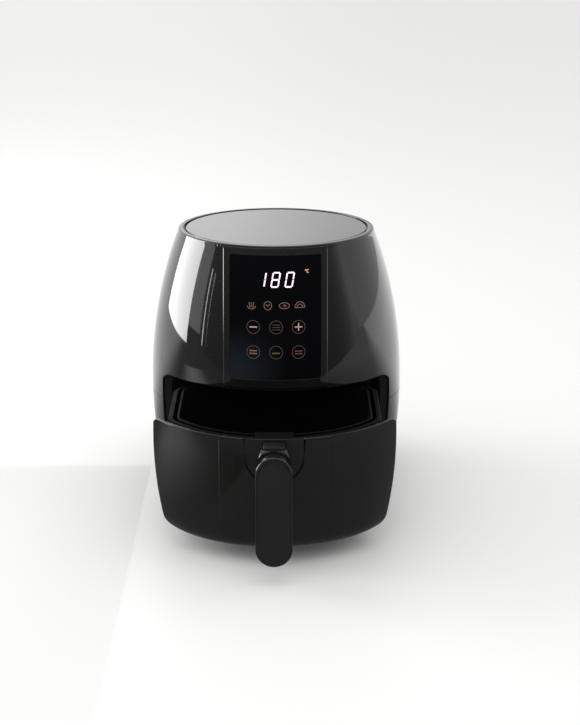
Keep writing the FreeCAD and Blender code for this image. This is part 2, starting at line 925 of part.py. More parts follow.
def fan_nut():
    corners = [Vector(*polar(nut_radius, 60.0 * index), fan_low - nut_height) for index in range(7)]
    hexagon = Part.Face(Part.makePolygon(corners)).extrude(Vector(0, 0, nut_height))
    return hexagon.cut(post(shaft_radius, 0.0, rim_height))


# Electrical pieces

def thermal_cutout():
    x, y = sensor_place
    can = post(cutout_radius, ceiling_high, ceiling_high + cutout_height, x, y)
    reach = cutout_radius / 2.0
    half = cutout_tab / 2.0
    tabs = box(x - reach, x + reach, y - half, y + half,
               ceiling_high + cutout_height / 2.0, ceiling_high + 2.0 * cutout_height)
    return joined(can, tabs)


def temperature_sensor():
    x, y = -sensor_place[0], sensor_place[1]
    probe = post(sensor_radius, ceiling_low - sensor_dip, ceiling_high + sensor_flange, x, y)
    flange = post(sensor_flange, ceiling_high, ceiling_high + liner_wall, x, y)
    return joined(probe, flange)


def on_board(size, place):
    # block that stands on the face of the power board
    depth, width, height = size
    x = power_board_x + board_thickness
    y, rise = place
    z = ceiling_high + power_board_lift + rise
    return box(x, x + depth, y - width / 2.0, y + width / 2.0, z - height / 2.0, z + height / 2.0)


def power_board():
    width, height = power_board_size
    low = ceiling_high + power_board_lift
    face = power_board_x + board_thickness
    sheet = box(power_board_x, face, -width / 2.0, width / 2.0, low, low + height)
    y, rise = capacitor_place
    foot = Vector(face, y, low + rise)
    capacitor = Part.makeCylinder(capacitor_radius, capacitor_length, foot, Vector(1, 0, 0))
    transformer = on_board(transformer_size, transformer_place)
    relay = on_board(relay_size, relay_place)
    return joined(sheet, transformer, relay, capacitor)


def board_brackets():
    reach, height, thickness = board_bracket_size
    face = power_board_x + board_thickness
    brackets = []
    for side in (-1.0, 1.0):
        middle = side * board_bracket_spread
        half = reach / 2.0
        upright = box(face, face + thickness, middle - half, middle + half, ceiling_high, ceiling_high + height)
        foot = box(face, face + reach, middle - half, middle + half, ceiling_high, ceiling_high + thickness)
        brackets.append(joined(upright, foot))
    return Part.makeCompound(brackets)


def magnet_place():
    middle = (tub_front + pan_rim_width + barrel_radius - housing_wall) / 2.0
    return magnet_x, -math.sqrt(middle ** 2 - magnet_x ** 2)


def reed_switch():
    x, y = magnet_place()
    width, depth, height = reed_size
    left = x - reed_inset - width / 2.0
    front = y + reed_inset - depth / 2.0
    return box(left, left + width, front, front + depth, shelf_high, shelf_high + height)


def exhaust_grille():
    plate = barrel_shell(fit_gap, housing_wall).common(grille_window(fit_gap))
    half = grille_slot / 2.0
    reach = grille_half_width - grille_corner
    cuts = []
    for middle in exhaust_rows():
        for ends in ((-reach, -grille_rib / 2.0), (grille_rib / 2.0, reach)):
            cuts.append(box(ends[0], ends[1], 0.0, span, middle - half, middle + half))
    return plate.cut(cuts)


def exhaust_duct():
    # the duct's end laps behind the grille, which seats on it
    inner_half = grille_half_width - duct_lap
    outer_half = inner_half + duct_wall
    inner_low = grille_low + duct_lap
    inner_high = grille_high - duct_lap
    outer = box(-outer_half, outer_half, 0.0, span, inner_low - duct_wall, inner_high + duct_wall)
    duct = outer.cut(box(-inner_half, inner_half, 0.0, span, inner_low, inner_high))
    return duct.common(barrel(housing_wall)).cut(post(chamber_radius + liner_wall, 0.0, rim_height))


def rearward(radius, y0, y1):
    return Part.makeCylinder(radius, y1 - y0, Vector(0, y0, gland_height), Vector(0, 1, 0))


def gland_face():
    return side_reach(gland_height)


def gland_hole():
    return rearward(gland_body + fit_gap, 0.0, span)


def cord_gland():
    face = gland_face()
    body = rearward(gland_body, face - housing_wall - gland_tail, face)
    flange = rearward(gland_flange, face - gland_lip, face + gland_lip).cut(barrel(0.0))
    return joined(body, flange).cut(rearward(gland_bore, 0.0, span))


# Drawer

def tub(inset, low, high, bottom_rounding=0.0):
    # pan-shaped block with drafted sides, front and rear, whose upright edges are rounded
    bottom = pan_low - tub_draft
    top = opening_top + tub_draft
    slope = tub_draft / (pan_high - pan_low)
    narrow = inset + slope * (pan_high - bottom)
    wide = inset + slope * (pan_high - top)
    front = Part.makeCone(tub_front - narrow, tub_front - wide, top - bottom, Vector(0, 0, bottom))
    rear = Part.makeCone(tub_rear - narrow, tub_rear - wide, top - bottom, Vector(0, 0, bottom))
    corners = [
        Vector(narrow - tub_half_width, -span, bottom),
        Vector(tub_half_width - narrow, -span, bottom),
        Vector(tub_half_width - wide, -span, top),
        Vector(wide - tub_half_width, -span, top),
    ]
    wedge = Part.Face(Part.makePolygon(corners + corners[:1])).extrude(Vector(0, 2.0 * span, 0))
    block = joined(front.common(ahead_of(0.0)), rear.common(behind(0.0))).common(wedge).removeSplitter()
    upright = [edge for edge in block.Edges if edge.BoundBox.ZLength > (top - bottom) / 2.0]
    block = block.makeFillet(tub_corner - inset, upright).common(slab(low, high))
    if bottom_rounding > 0:
        floor = [edge for edge in block.Edges if edge.BoundBox.ZMax < low + 0.01]
        block = block.makeFillet(bottom_rounding, floor)
    return block


def corner_places(spread):
    return [(x, y) for x in (-spread, spread) for y in (-spread, spread)]


def drawer_pan():
    pan = tub(0.0, pan_low, pan_high, tub_bottom_rounding)
    hollow = tub(pan_wall, pan_low + pan_wall, pan_high, tub_bottom_rounding - pan_wall)
    rim = tub(-pan_rim_width, pan_high - pan_wall, pan_high)
    bumps = [post(pan_bump_radius, pan_low + pan_wall / 2.0, basket_low, x, y)
             for x, y in corner_places(pan_bump_spread)]
    return joined(joined(pan, rim).cut(hollow), *bumps)


def basket():
    outer = basket_inset
    inner = basket_inset + basket_wall
    wall = tub(outer, basket_low, basket_high).cut(tub(inner, basket_low, basket_high))
    ledge = tub(outer, basket_low, basket_low + basket_wall)
    ledge = ledge.cut(tub(inner + basket_ledge, basket_low, basket_low + basket_wall))
    rim = tub(outer - basket_rim_width / 2.0, basket_high - basket_rim_height, basket_high)
    rim = rim.cut(tub(inner, basket_high - basket_rim_height, basket_high))
    return joined(wall, ledge, rim)


def floor_holes(margin):
    # staggered rows of holes that stay inside the plate's edge
    rows = []
    row_pitch = hole_pitch * math.sqrt(0.75)
    count = int(barrel_radius / row_pitch)
    for row in range(-count, count + 1):
        shift = hole_pitch / 2.0 if row % 2 else 0.0
        for column in range(-count, count + 1):
            x = column * hole_pitch + shift
            y = row * row_pitch
            reach = (tub_front if y < 0 else tub_rear) - margin
            if abs(x) < tub_half_width - margin and math.hypot(x, y) < reach:
                rows.append((x, y))
    return rows


def basket_floor():
    low = basket_low + basket_wall
    inset = basket_inset + basket_wall + seat_gap
    plate = tub(inset, low, low + basket_floor_thickness)
    margin = inset + tub_draft + hole_margin
    holes = [post(hole_radius, low, low + basket_floor_thickness, x, y) for x, y in floor_holes(margin)]
    return plate.cut(holes)


def drawer_bumpers():
    low = basket_low + basket_wall + basket_floor_thickness
    pieces = []
    for x, y in corner_places(bumper_spread):
        pieces.append(post(bumper_radius, low, low + bumper_length, x, y))
    return Part.makeCompound(pieces)


def notch(margin, y0, y1):
    # U-shaped notch at the top middle of the drawer's front
    half_width = notch_half_width - margin
    floor = fascia_high - notch_depth + margin
    centre = floor + half_width
    round_end = Part.makeCylinder(half_width, y1 - y0, Vector(0, y0, centre), Vector(0, 1, 0))
    return joined(round_end, box(-half_width, half_width, y0, y1, centre, span))


def fascia_gate():
    # what the drawer's front fills: top corners rounded where it meets the housing
    half_width = math.sqrt(barrel_radius ** 2 - fascia_plane ** 2)
    return arch(half_width, fascia_high, fascia_corner, -span, fascia_plane).common(slab(fascia_low, span))


def drawer_front():
    skin = barrel_shell(0.0, housing_wall).common(fascia_gate())
    skin = skin.cut(post(rounding_centre()[0] + base_rounding - fascia_return - housing_wall, 0.0,
                         underside_height + housing_wall))
    front = joined(skin, band(drawer_band_low, fascia_high, True))
    return front.cut(notch(0.0, -span, 0.0))


def drawer_front_carrier():
    # ribbed moulding that ties the pan to the fascia
    half_width = inner_carrier_half_width
    top = fascia_high - inner_carrier_drop
    half = inner_carrier_plate / 2.0
    sheets = slab(top, top + inner_carrier_plate)
    for low in (inner_carrier_low, (inner_carrier_low + top) / 2.0):
        sheets = sheets.fuse(slab(low, low + inner_carrier_plate))
    for x in (-half_width / 2.0, half_width / 2.0):
        sheets = sheets.fuse(box(x - half, x + half, -span, 0.0, inner_carrier_low, top))
    room = box(-half_width, half_width, -span, fascia_plane, inner_carrier_low, fascia_high)
    block = barrel(housing_wall).common(room).cut(tub(0.0, pan_low, pan_high))
    return block.common(sheets).cut(notch(0.0, -span, 0.0)).removeSplitter()


def drawer_magnet():
    x, y = magnet_place()
    top = fascia_high - inner_carrier_drop
    return post(magnet_radius, top - magnet_height, top, x, y)


# Handle

def bracket_y():
    # faces of the two upright legs of the bracket: behind the handle, and in front of the basket
    return pad_back, -(tub_front - basket_inset)


def basket_bracket():
    front, inner = bracket_y()
    top = fascia_high - seat_gap
    half = bracket_half_width
    strap = box(-half, half, front, inner, top - bracket_thickness, top)
    fore_leg = box(-half, half, front, front + bracket_thickness, top - bracket_leg, top)
    aft_leg = box(-half, half, inner - bracket_thickness, inner, top - bracket_leg, top)
    bracket = joined(strap, fore_leg, aft_leg)
    bracket = bracket.cut(tub(basket_inset - basket_rim_width / 2.0, pan_low, opening_top))
    slot_half = latch_half_width + bracket_window
    slot_low = latch_high - latch_thickness - button_travel - bracket_window
    slot_high = latch_high + barb_height + bracket_window
    cuts = [box(-slot_half, slot_half, -span, front + bracket_thickness, slot_low, slot_high)]
    bore = handle_screw_radius + fit_gap / 2.0
    for x, z in handle_screw_places():
        cuts.append(screw_bore(bore, x, z, pad_back, pad_back + bracket_thickness))
    return bracket.cut(cuts)


def handle_screw_places():
    z = fascia_high - handle_screw_drop
    return (-handle_screw_spread, z), (handle_screw_spread, z)


def screw_bore(radius, x, z, y0, y1):
    return Part.makeCylinder(radius, y1 - y0, Vector(x, y0, z), Vector(0, 1, 0))


def neck_section(half_width, corner, y):
    # arch-topped section of the neck at a distance from the axis
    inner = half_width - corner
    drop = corner * (1.0 - math.sqrt(0.5))
    low_left = Vector(-half_width, y, neck_low)
    low_right = Vector(half_width, y, neck_low)
    side_right = Vector(half_width, y, neck_high - corner)
    top_right = Vector(inner, y, neck_high)
    top_left = Vector(-inner, y, neck_high)
    side_left = Vector(-half_width, y, neck_high - corner)
    return Part.Wire([
        Part.LineSegment(low_left, low_right).toShape(),
        Part.LineSegment(low_right, side_right).toShape(),
        Part.Arc(side_right, Vector(half_width - drop, y, neck_high - drop), top_right).toShape(),
        Part.LineSegment(top_right, top_left).toShape(),
        Part.Arc(top_left, Vector(drop - half_width, y, neck_high - drop), side_left).toShape(),
        Part.LineSegment(side_left, low_left).toShape(),
    ])


def neck_end():
    half_width = grip_half_width - neck_end_inset
    return neck_section(half_width, neck_end_rounding, grip_back)


def neck():
    root = plate_face + band_proud
    flare = plate_face - neck_flare_start
    narrow = neck_section(neck_half_width, neck_corner, flare)
    straight = Part.makeLoft([neck_section(neck_half_width, neck_corner, root), narrow], True, True)
    wide = grip_half_width - neck_end_inset
    mid_width = neck_half_width + (wide - neck_half_width) * neck_flare_share
    mid_corner = neck_corner + (neck_end_rounding - neck_corner) * neck_flare_share
    middle = neck_section(mid_width, mid_corner, (flare + grip_back) / 2.0)
    flared = Part.makeLoft([narrow, middle, neck_end()], True, False)
    return straight, flared


def button_pocket():
    half = button_half_width + slide_gap
    slot_half = latch_half_width + slide_gap
    floor = button_low - button_travel - slide_gap
    back = button_back + slide_gap / 4.0
    slot_front = button_back - latch_thickness - slide_gap
    slot_low = latch_high - latch_thickness - button_travel - slide_gap
    slot_high = latch_high + barb_height + slide_gap
    pocket = box(-half, half, button_front - slide_gap, back, floor, span)
    well = post(spring_radius + spring_wire + slide_gap, well_floor, floor, 0.0, button_middle)
    slot = box(-slot_half, slot_half, slot_front, 0.0, slot_low, slot_high)
    drop = box(-slot_half, slot_half, slot_front, back, slot_low, floor)
    return [pocket, well, slot, drop]


def handle_mount():
    plate = barrel_shell(-band_proud, housing_wall).common(notch(notch_gap, -span, 0.0))
    plate = plate.common(slab(0.0, fascia_high))
    half = bracket_half_width
    top = fascia_high - seat_gap
    pad = box(-half, half, plate_face + band_proud, pad_back, top - bracket_leg, top)
    straight, flared = neck()
    mount = joined(plate, pad, straight, flared)
    cuts = button_pocket()
    bore = handle_screw_radius + fit_gap / 2.0
    for x, z in handle_screw_places():
        cuts.append(screw_bore(bore, x, z, pad_back - handle_screw_length, pad_back))
    return mount.cut(cuts)


def stadium(half_width, low, high, y0, y1):
    left_low = Vector(-half_width, y0, low + half_width)
    right_low = Vector(half_width, y0, low + half_width)
    left_high = Vector(-half_width, y0, high - half_width)
    right_high = Vector(half_width, y0, high - half_width)
    outline = Part.Wire([
        Part.Arc(left_low, Vector(0, y0, low), right_low).toShape(),
        Part.LineSegment(right_low, right_high).toShape(),
        Part.Arc(right_high, Vector(0, y0, high), left_high).toShape(),
        Part.LineSegment(left_high, left_low).toShape(),
    ])
    return Part.Face(outline).extrude(Vector(0, y1 - y0, 0))


def edges_at_y(shape, y):
    chosen = []
    for edge in shape.Edges:
        if abs(edge.BoundBox.YMin - y) < 0.01 and abs(edge.BoundBox.YMax - y) < 0.01:
            chosen.append(edge)
    return chosen


def insert_outline(margin):
    low = grip_low + insert_margin - margin
    high = grip_high - insert_top_margin + margin
    half_width = grip_half_width - insert_margin + margin
    return stadium(half_width, low, high, handle_front, handle_front + insert_thickness)


def handle_body():
    grip = stadium(grip_half_width, grip_low, grip_high, handle_front, grip_back)
    grip = grip.makeFillet(grip_front_rounding, edges_at_y(grip, handle_front))
    rounded = grip.makeFillet(grip_back_rounding, edges_at_y(grip, grip_back))
    boss = Part.Face(neck_end()).extrude(Vector(0, -grip_back_rounding, 0))
    return joined(rounded, boss.common(grip)).cut(insert_outline(fit_gap / 2.0))


def handle_grip():
    return insert_outline(0.0)


def handle_screws():
    screws = []
    for x, z in handle_screw_places():
        back = pad_back + bracket_thickness
        shank = screw_bore(handle_screw_radius, x, z, pad_back - handle_screw_length + fit_gap, back)
        head = screw_bore(handle_screw_head, x, z, back, back + handle_screw_radius)
        screws.append(joined(shank, head))
    return Part.makeCompound(screws)


def release_button():
    half = button_half_width
    cap = box(-half, half, button_front, button_back, button_low, button_high)
    top = [edge for edge in cap.Edges if abs(edge.CenterOfMass.z - button_high) < 0.01]
    return cap.makeFillet(button_rounding, top)


def barb_faces():
    # the barb stands behind the keeper's bar, which stands in front of the pan's wall
    bar_back = -(tub_front + pan_rim_width) - keeper_bar
    return bar_back, bar_back + seat_gap


def release_latch():
    bar_back, barb_front = barb_faces()
    low = latch_high - latch_thickness
    half = latch_half_width
    stem = box(-half, half, button_back - latch_thickness, button_back, low, button_low)
    tongue = box(-half, half, button_back - latch_thickness, barb_front + barb_thickness, low, latch_high)
    barb = box(-half, half, barb_front, barb_front + barb_thickness, low, latch_high + barb_height)
    return joined(stem, tongue, barb)


def latch_keeper():
    bar_back, barb_front = barb_faces()
    low = latch_high + seat_gap
    inner = latch_half_width + seat_gap
    outer = inner + keeper_cheek
    bar = box(-outer, outer, bar_back - keeper_bar, bar_back, low, low + keeper_height)
    cheeks = []
    for side in (-1.0, 1.0):
        ends = sorted((side * inner, side * outer))
        cheeks.append(box(ends[0], ends[1], bar_back - keeper_bar, 0.0,
                          low - latch_thickness, low + keeper_height))
    return joined(bar, *cheeks).cut(tub(0.0, pan_low, pan_high))


def spring_points():
    # centre line of the return spring, four points to each turn
    low = well_floor + spring_wire
    rise = button_low - seat_gap - spring_wire - low
    count = 4 * spring_turns
    places = []
    for index in range(count + 1):
        x, y = polar(spring_radius, 90.0 * index)
        places.append(Vector(x, y + button_middle, low + rise * index / count))
    return places, rise


def biarc(start, start_way, finish, finish_way):
    # two arcs that meet smoothly and keep the way of the curve at both ends
    chord = finish.sub(start)
    ways = start_way.add(finish_way)
    slack = 4.0 - ways.dot(ways)
    along = chord.dot(ways)
    arm = (math.sqrt(along ** 2 + slack * chord.dot(chord)) - along) / slack
    first = start.add(start_way * arm)
    second = finish.sub(finish_way * arm)
    meet = first.add(second) * 0.5
    arcs = []
    for begin, corner, end in ((start, first, meet), (meet, second, finish)):
        middle = begin.add(end) * 0.5
        half = begin.sub(middle).Length
        lean = math.acos(min(1.0, half / arm))
        radius = arm / math.tan(lean)
        sag = radius * (1.0 - math.cos(lean))
        peak = middle.add(corner.sub(middle).normalize() * sag)
        arcs.append(Part.Arc(begin, peak, end).toShape())
    return arcs


def least_self_gap(points):
    # least room between two turns, taken over points more than half a turn apart
    apart = len(points) // (2 * spring_turns)
    least = span
    for index in range(len(points)):
        for other in range(index + apart, len(points)):
            least = min(least, points[index].distanceToPoint(points[other]))
    return least - 2.0 * spring_wire


def release_spring():
    places, rise = spring_points()
    lead = rise / (2.0 * math.pi * spring_turns)
    ways = []
    for index in range(len(places)):
        x, y = polar(1.0, 90.0 * index + 90.0)
        ways.append(Vector(x * spring_radius, y * spring_radius, lead).normalize())
    edges = []
    for index in range(len(places) - 1):
        edges.extend(biarc(places[index], ways[index], places[index + 1], ways[index + 1]))
    line = Part.Wire(edges)
    gap = least_self_gap(line.discretize(40 * spring_turns))
    print("least gap between the turns of the spring: %.2f mm" % gap)
    section = Part.Wire(Part.Circle(places[0], ways[0], spring_wire).toShape())
    return line.makePipeShell([section], True, False)


housing = {
    "upper_shell": upper_shell,
    "lower_shell": lower_shell,
    "base_plate": base_plate,
    "rubber_feet": rubber_feet,
    "foot_screws": foot_screws,
    "base_screws": base_screws,
    "front_panel": front_panel,
    "control_glass": control_glass,
    "display_carrier": display_carrier,
    "display_board": display_board,
    "led_display": led_display,
    "top_cover": top_cover,
    "top_panel": top_panel,
    "bay_frame": bay_frame,
    "drawer_runners": drawer_runners,
    "chamber_liner": chamber_liner,
    "heating_element": heating_element,
    "heater_clips": heater_clips,
    "heater_insulators": heater_insulators,
    "heat_shield": heat_shield,
    "motor_bracket": motor_bracket,
    "motor": motor,
    "motor_screws": motor_screws,
    "thermal_cutout": thermal_cutout,
    "temperature_sensor": temperature_sensor,
    "power_board": power_board,
    "board_brackets": board_brackets,
    "reed_switch": reed_switch,
    "exhaust_grille": exhaust_grille,
    "exhaust_duct": exhaust_duct,
    "cord_gland": cord_gland,
    "motor_shaft": motor_shaft,
    "circulation_fan": circulation_fan,
    "cooling_fan": cooling_fan,
    "fan_nut": fan_nut,
}

drawer = {
    "drawer_front": drawer_front,
    "drawer_front_carrier": drawer_front_carrier,
    "drawer_pan": drawer_pan,
    "basket": basket,
    "basket_floor": basket_floor,
    "drawer_bumpers": drawer_bumpers,
    "basket_bracket": basket_bracket,
    "handle_mount": handle_mount,
    "handle_body": handle_body,
    "handle_grip": handle_grip,
    "handle_screws": handle_screws,
    "latch_keeper": latch_keeper,
    "drawer_magnet": drawer_magnet,
    "release_button": release_button,
    "release_latch": release_latch,
    "release_spring": release_spring,
}


def export(pieces, move):
    for name, make in pieces.items():
        shape = make()
        shape.translate(move)
        shape.exportStep("parts/%s.step" % name)


os.makedirs("parts", exist_ok=True)
export(housing, Vector(0, footprint_shift, 0))
export(drawer, Vector(0, footprint_shift - drawer_out, 0))
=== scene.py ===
import bmesh
import bpy
import json
import math
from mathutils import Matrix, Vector


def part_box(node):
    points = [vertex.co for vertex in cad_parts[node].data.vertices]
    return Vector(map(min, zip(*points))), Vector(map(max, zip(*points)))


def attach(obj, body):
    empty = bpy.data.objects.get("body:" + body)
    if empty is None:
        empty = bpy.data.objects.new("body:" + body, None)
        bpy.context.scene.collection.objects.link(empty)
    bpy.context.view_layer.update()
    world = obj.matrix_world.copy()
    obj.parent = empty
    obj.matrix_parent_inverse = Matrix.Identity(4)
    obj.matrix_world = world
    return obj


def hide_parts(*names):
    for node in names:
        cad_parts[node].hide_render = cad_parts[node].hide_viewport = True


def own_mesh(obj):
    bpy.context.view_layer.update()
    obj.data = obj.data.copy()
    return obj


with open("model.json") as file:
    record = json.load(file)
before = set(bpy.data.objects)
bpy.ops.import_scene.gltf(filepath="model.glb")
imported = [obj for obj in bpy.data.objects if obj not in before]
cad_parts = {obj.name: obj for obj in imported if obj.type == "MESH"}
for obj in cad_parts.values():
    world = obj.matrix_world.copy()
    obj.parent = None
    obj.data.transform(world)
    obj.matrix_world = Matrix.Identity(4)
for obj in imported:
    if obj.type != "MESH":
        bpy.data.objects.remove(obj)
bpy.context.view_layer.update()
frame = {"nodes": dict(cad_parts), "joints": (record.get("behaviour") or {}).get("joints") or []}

# the barrel's side is an arc about the upright axis, and its foot is a small rounding
barrel = {
    "radius": 0.134,
    "bulgeHeight": 0.110,
    "arcRadius": 0.455,
    "rimHeight": 0.275,
    "underside": 0.013,
    "baseRounding": 0.020,
    "wall": 0.003,
    "seamHeight": 0.102,
    "seamGap": 0.0005,
}
shellLow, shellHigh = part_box("upper_shell")
housingY = (shellLow.y + shellHigh.y) / 2
slideRange = next(j["range_m"] for j in frame["joints"] if j["name"] == "drawer_slide")
drawerY = housingY + slideRange[0]  # the drawer stands out by its whole inward travel

sideR = barrel["radius"] - barrel["arcRadius"]
roundZ = barrel["underside"] + barrel["baseRounding"]
roundRise = barrel["bulgeHeight"] - roundZ
roundR = sideR + math.sqrt((barrel["arcRadius"] - barrel["baseRounding"]) ** 2 - roundRise ** 2)
blendAngle = math.atan2(-roundRise, roundR - sideR)
blendRun = barrel["arcRadius"] * blendAngle


def profileAt(run):  # radius, height and outward normal at a run length along the barrel's profile
    if run >= blendRun:
        a = run / barrel["arcRadius"]
        r = sideR + barrel["arcRadius"] * math.cos(a)
        return r, barrel["bulgeHeight"] + barrel["arcRadius"] * math.sin(a), math.cos(a), math.sin(a)
    a = blendAngle + (run - blendRun) / barrel["baseRounding"]
    if a > -math.pi / 2:
        r = roundR + barrel["baseRounding"] * math.cos(a)
        return r, roundZ + barrel["baseRounding"] * math.sin(a), math.cos(a), math.sin(a)
    return roundR + (a + math.pi / 2) * barrel["baseRounding"], barrel["underside"], 0.0, -1.0


def runAt(z):  # the run length at a height
    if z >= profileAt(blendRun)[1]:
        return barrel["arcRadius"] * math.asin((z - barrel["bulgeHeight"]) / barrel["arcRadius"])
    a = math.asin(max(-1.0, (z - roundZ) / barrel["baseRounding"]))
    return blendRun + (a - blendAngle) * barrel["baseRounding"]


def radiusAt(z):
    return profileAt(runAt(z))[0]


def onBarrel(turn, run, offset, axisY):  # turn 0 faces the front, positive towards +X
    r, z, nr, nz = profileAt(run)
    r += offset * nr
    return Vector((r * math.sin(turn), axisY - r * math.cos(turn), z + offset * nz))


def clamp(value, limit):
    return max(-limit, min(limit, value))


def frontSpot(x, z):  # turn and run of a place on the front, given across and up
    return math.asin(clamp(x / radiusAt(z), 1.0)), runAt(z)


def wrapped(path):  # a path across and up the front, as turns and runs
    return [frontSpot(x, z) for x, z in path]


def line(a, b, count):  # points from a up to, but not at, b
    return [(a[0] + (b[0] - a[0]) * i / count, a[1] + (b[1] - a[1]) * i / count) for i in range(count)]


def arc(centre, radius, start, end, count):  # likewise round a centre, between angles in degrees
    points = []
    for i in range(count):
        a = math.radians(start + (end - start) * i / count)
        points.append((centre[0] + radius * math.cos(a), centre[1] + radius * math.sin(a)))
    return points


def corners(across, up):  # of a rectangle, counter-clockwise from the lower left
    return [(across[0], up[0]), (across[1], up[0]), (across[1], up[1]), (across[0], up[1])]


def roundedRect(half, low, high, radii, counts):
    # counter-clockwise from the lower left: radii of the lower and upper corners, and
    # counts of steps across, up, and round a lower and an upper corner
    foot, head = radii
    across, up, footTurns, headTurns = counts
    points = line((foot - half, low), (half - foot, low), across)
    points += arc((half - foot, low + foot), foot, -90, 0, footTurns)
    points += line((half, low + foot), (half, high - head), up)
    points += arc((half - head, high - head), head, 0, 90, headTurns)
    points += line((half - head, high), (head - half, high), across)
    points += arc((head - half, high - head), head, 90, 180, headTurns)
    points += line((-half, high - head), (-half, low + foot), up)
    return points + arc((foot - half, low + foot), foot, 180, 270, footTurns)


def circleTurns(count):
    return [2 * math.pi * i / count for i in range(count)]


def inward(outline):  # unit directions into a counter-clockwise outline, in turn and run
    ways = []
    for (t0, r0), (t, r), (t1, r1) in zip(outline[-1:] + outline[:-1], outline, outline[1:] + outline[:1]):
        radius = profileAt(r)[0]
        dx, dz = (t1 - t0) * radius, r1 - r0
        size = math.hypot(dx, dz) or 1.0
        ways.append((-dz / size / radius, dx / size))
    return ways


def shifted(outline, ways, sizes, share):  # moved inwards by a share of each point's own size
    return [(t + w[0] * size * share, r + w[1] * size * share) for (t, r), w, size in zip(outline, ways, sizes)]


def between(first, second, share):  # part of the way from one outline to its match
    return [(t0 + (t1 - t0) * share, r0 + (r1 - r0) * share) for (t0, r0), (t1, r1) in zip(first, second)]


def laid(outline, offsets, axisY):  # the outline's points on the barrel, each at its own offset
    return [onBarrel(t, r, offset, axisY) for (t, r), offset in zip(outline, offsets)]


# mesh building

meshing = {
    "weld": 2e-6,
    "sliver": 1e-7,
    "sharp": math.radians(38),
    "edgeTurns": 6,
    "holeTurns": 4,
    "underShare": 0.3,
    "tightShare": 0.012,
    "ringTight": 0.04,
    "ringRows": 6,
}


def addObject(name, data):
    made = bpy.data.objects.new(name, data)
    bpy.context.scene.collection.objects.link(made)
    return made


def addMesh(name, points, faces):
    mesh = bpy.data.meshes.new(name)
    mesh.from_pydata(points, [], faces)
    return mesh


def shownMesh(piece):  # its mesh as the modifiers leave it
    return bpy.data.meshes.new_from_object(piece.evaluated_get(bpy.context.evaluated_depsgraph_get()))


def finishMesh(name, mesh):
    bm = bmesh.new()
    bm.from_mesh(mesh)
    bmesh.ops.remove_doubles(bm, verts=bm.verts, dist=meshing["weld"])
    bmesh.ops.dissolve_degenerate(bm, edges=bm.edges, dist=meshing["sliver"])
    bmesh.ops.recalc_face_normals(bm, faces=bm.faces)
    bm.to_mesh(mesh)
    bm.free()
    mesh.shade_smooth()
    mesh.set_sharp_from_angle(angle=meshing["sharp"])
    return addObject(name, mesh)


def meshFrom(name, rows, looped=False):  # rows of points, each row closed on itself
    count = len(rows[0])
    faces = []
    for r in range(len(rows) if looped else len(rows) - 1):
        base, after = r * count, (r + 1) % len(rows) * count
        for i in range(count):
            k = (i + 1) % count
            faces.append((base + i, base + k, after + k, after + i))
    return finishMesh(name, addMesh(name, [p for row in rows for p in row], faces))


def easedEdge(turns, bow=2.0):  # inset and depth shares round an edge; bow 2 is a true round, 1 a plain chamfer
    shares = []
    for i in range(turns + 1):
        a = math.pi / 2 * i / turns
        shares.append((1 - math.sin(a) ** (2 / bow), 1 - math.cos(a) ** (2 / bow)))
    return shares


def edgeRows(outline, ways, sizes, shares, offset, axisY, facing=1):  # facing -1 goes round a hole
    rows = []
    for step, depth in shares:
        drops = [offset - depth * size for size in sizes]
        rows.append(laid(shifted(outline, ways, sizes, facing * step), drops, axisY))
    return rows


def spread(count):  # shares from an edge to the middle, with one tight row that holds the rounding
    return [0.0, meshing["tightShare"]] + [i / count for i in range(1, count + 1)]


def platePiece(name, outline, spine, wall, edge, offset, axisY, rows=14, bow=2.0):
    # a curved plate on the barrel: outline and spine are matched lists of turn and run
    edges = edge if isinstance(edge, list) else [edge] * len(outline)
    ways = inward(outline)
    face = shifted(outline, ways, edges, 1.0)
    under = shifted(outline, ways, edges, meshing["underShare"])
    top, bottom = [offset] * len(outline), [offset - wall] * len(outline)
    grid = [laid(between(face, spine, s), top, axisY) for s in reversed(spread(rows))]
    grid += edgeRows(outline, ways, edges, easedEdge(meshing["edgeTurns"], bow)[1:], offset, axisY)
    grid.append(laid(outline, bottom, axisY))
    grid += [laid(between(under, spine, s), bottom, axisY) for s in spread(rows)]
    return meshFrom(name, grid)


def ringPiece(name, outer, inner, wall, edges, offset, axisY, bow):
    # a curved frame on the barrel between two matched outlines, the inner one a hole
    outerEdges, innerEdges = edges
    outerWays, innerWays = inward(outer), inward(inner)
    outerFace = shifted(outer, outerWays, outerEdges, 1.0)
    innerFace = shifted(inner, innerWays, innerEdges, -1.0)
    top, bottom = [offset] * len(outer), [offset - wall] * len(outer)
    tight, rows = meshing["ringTight"], meshing["ringRows"]
    shares = [0.0, tight] + [i / rows for i in range(1, rows)] + [1.0 - tight, 1.0]
    grid = edgeRows(outer, outerWays, outerEdges, easedEdge(meshing["edgeTurns"], bow)[:0:-1], offset, axisY)
    grid += [laid(between(outerFace, innerFace, s), top, axisY) for s in shares]
    grid += edgeRows(inner, innerWays, innerEdges, easedEdge(meshing["holeTurns"])[1:], offset, axisY, -1)
    grid += [laid(between(outer, inner, s), bottom, axisY) for s in reversed(shares)]
    return meshFrom(name, grid, True)


def dress(piece, body, slotName, material, *nodes):
    piece.data.materials.clear()
    piece.data.materials.append(material)
    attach(piece, body)
    if nodes:
        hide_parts(*nodes)
    return piece


def settle(piece):  # puts the modifiers into the mesh
    mesh = shownMesh(piece)
    piece.modifiers.clear()
    piece.data = mesh
    mesh.set_sharp_from_angle(angle=meshing["sharp"])
    return piece


def cutAway(piece, cutters):  # takes closed solids out of a piece
    for cutter in cutters:
        step = piece.modifiers.new("cut", "BOOLEAN")
        step.operation = "DIFFERENCE"
        step.solver = "EXACT"
        step.object = cutter
    settle(piece)
    for cutter in cutters:
        bpy.data.objects.remove(cutter)
    return piece


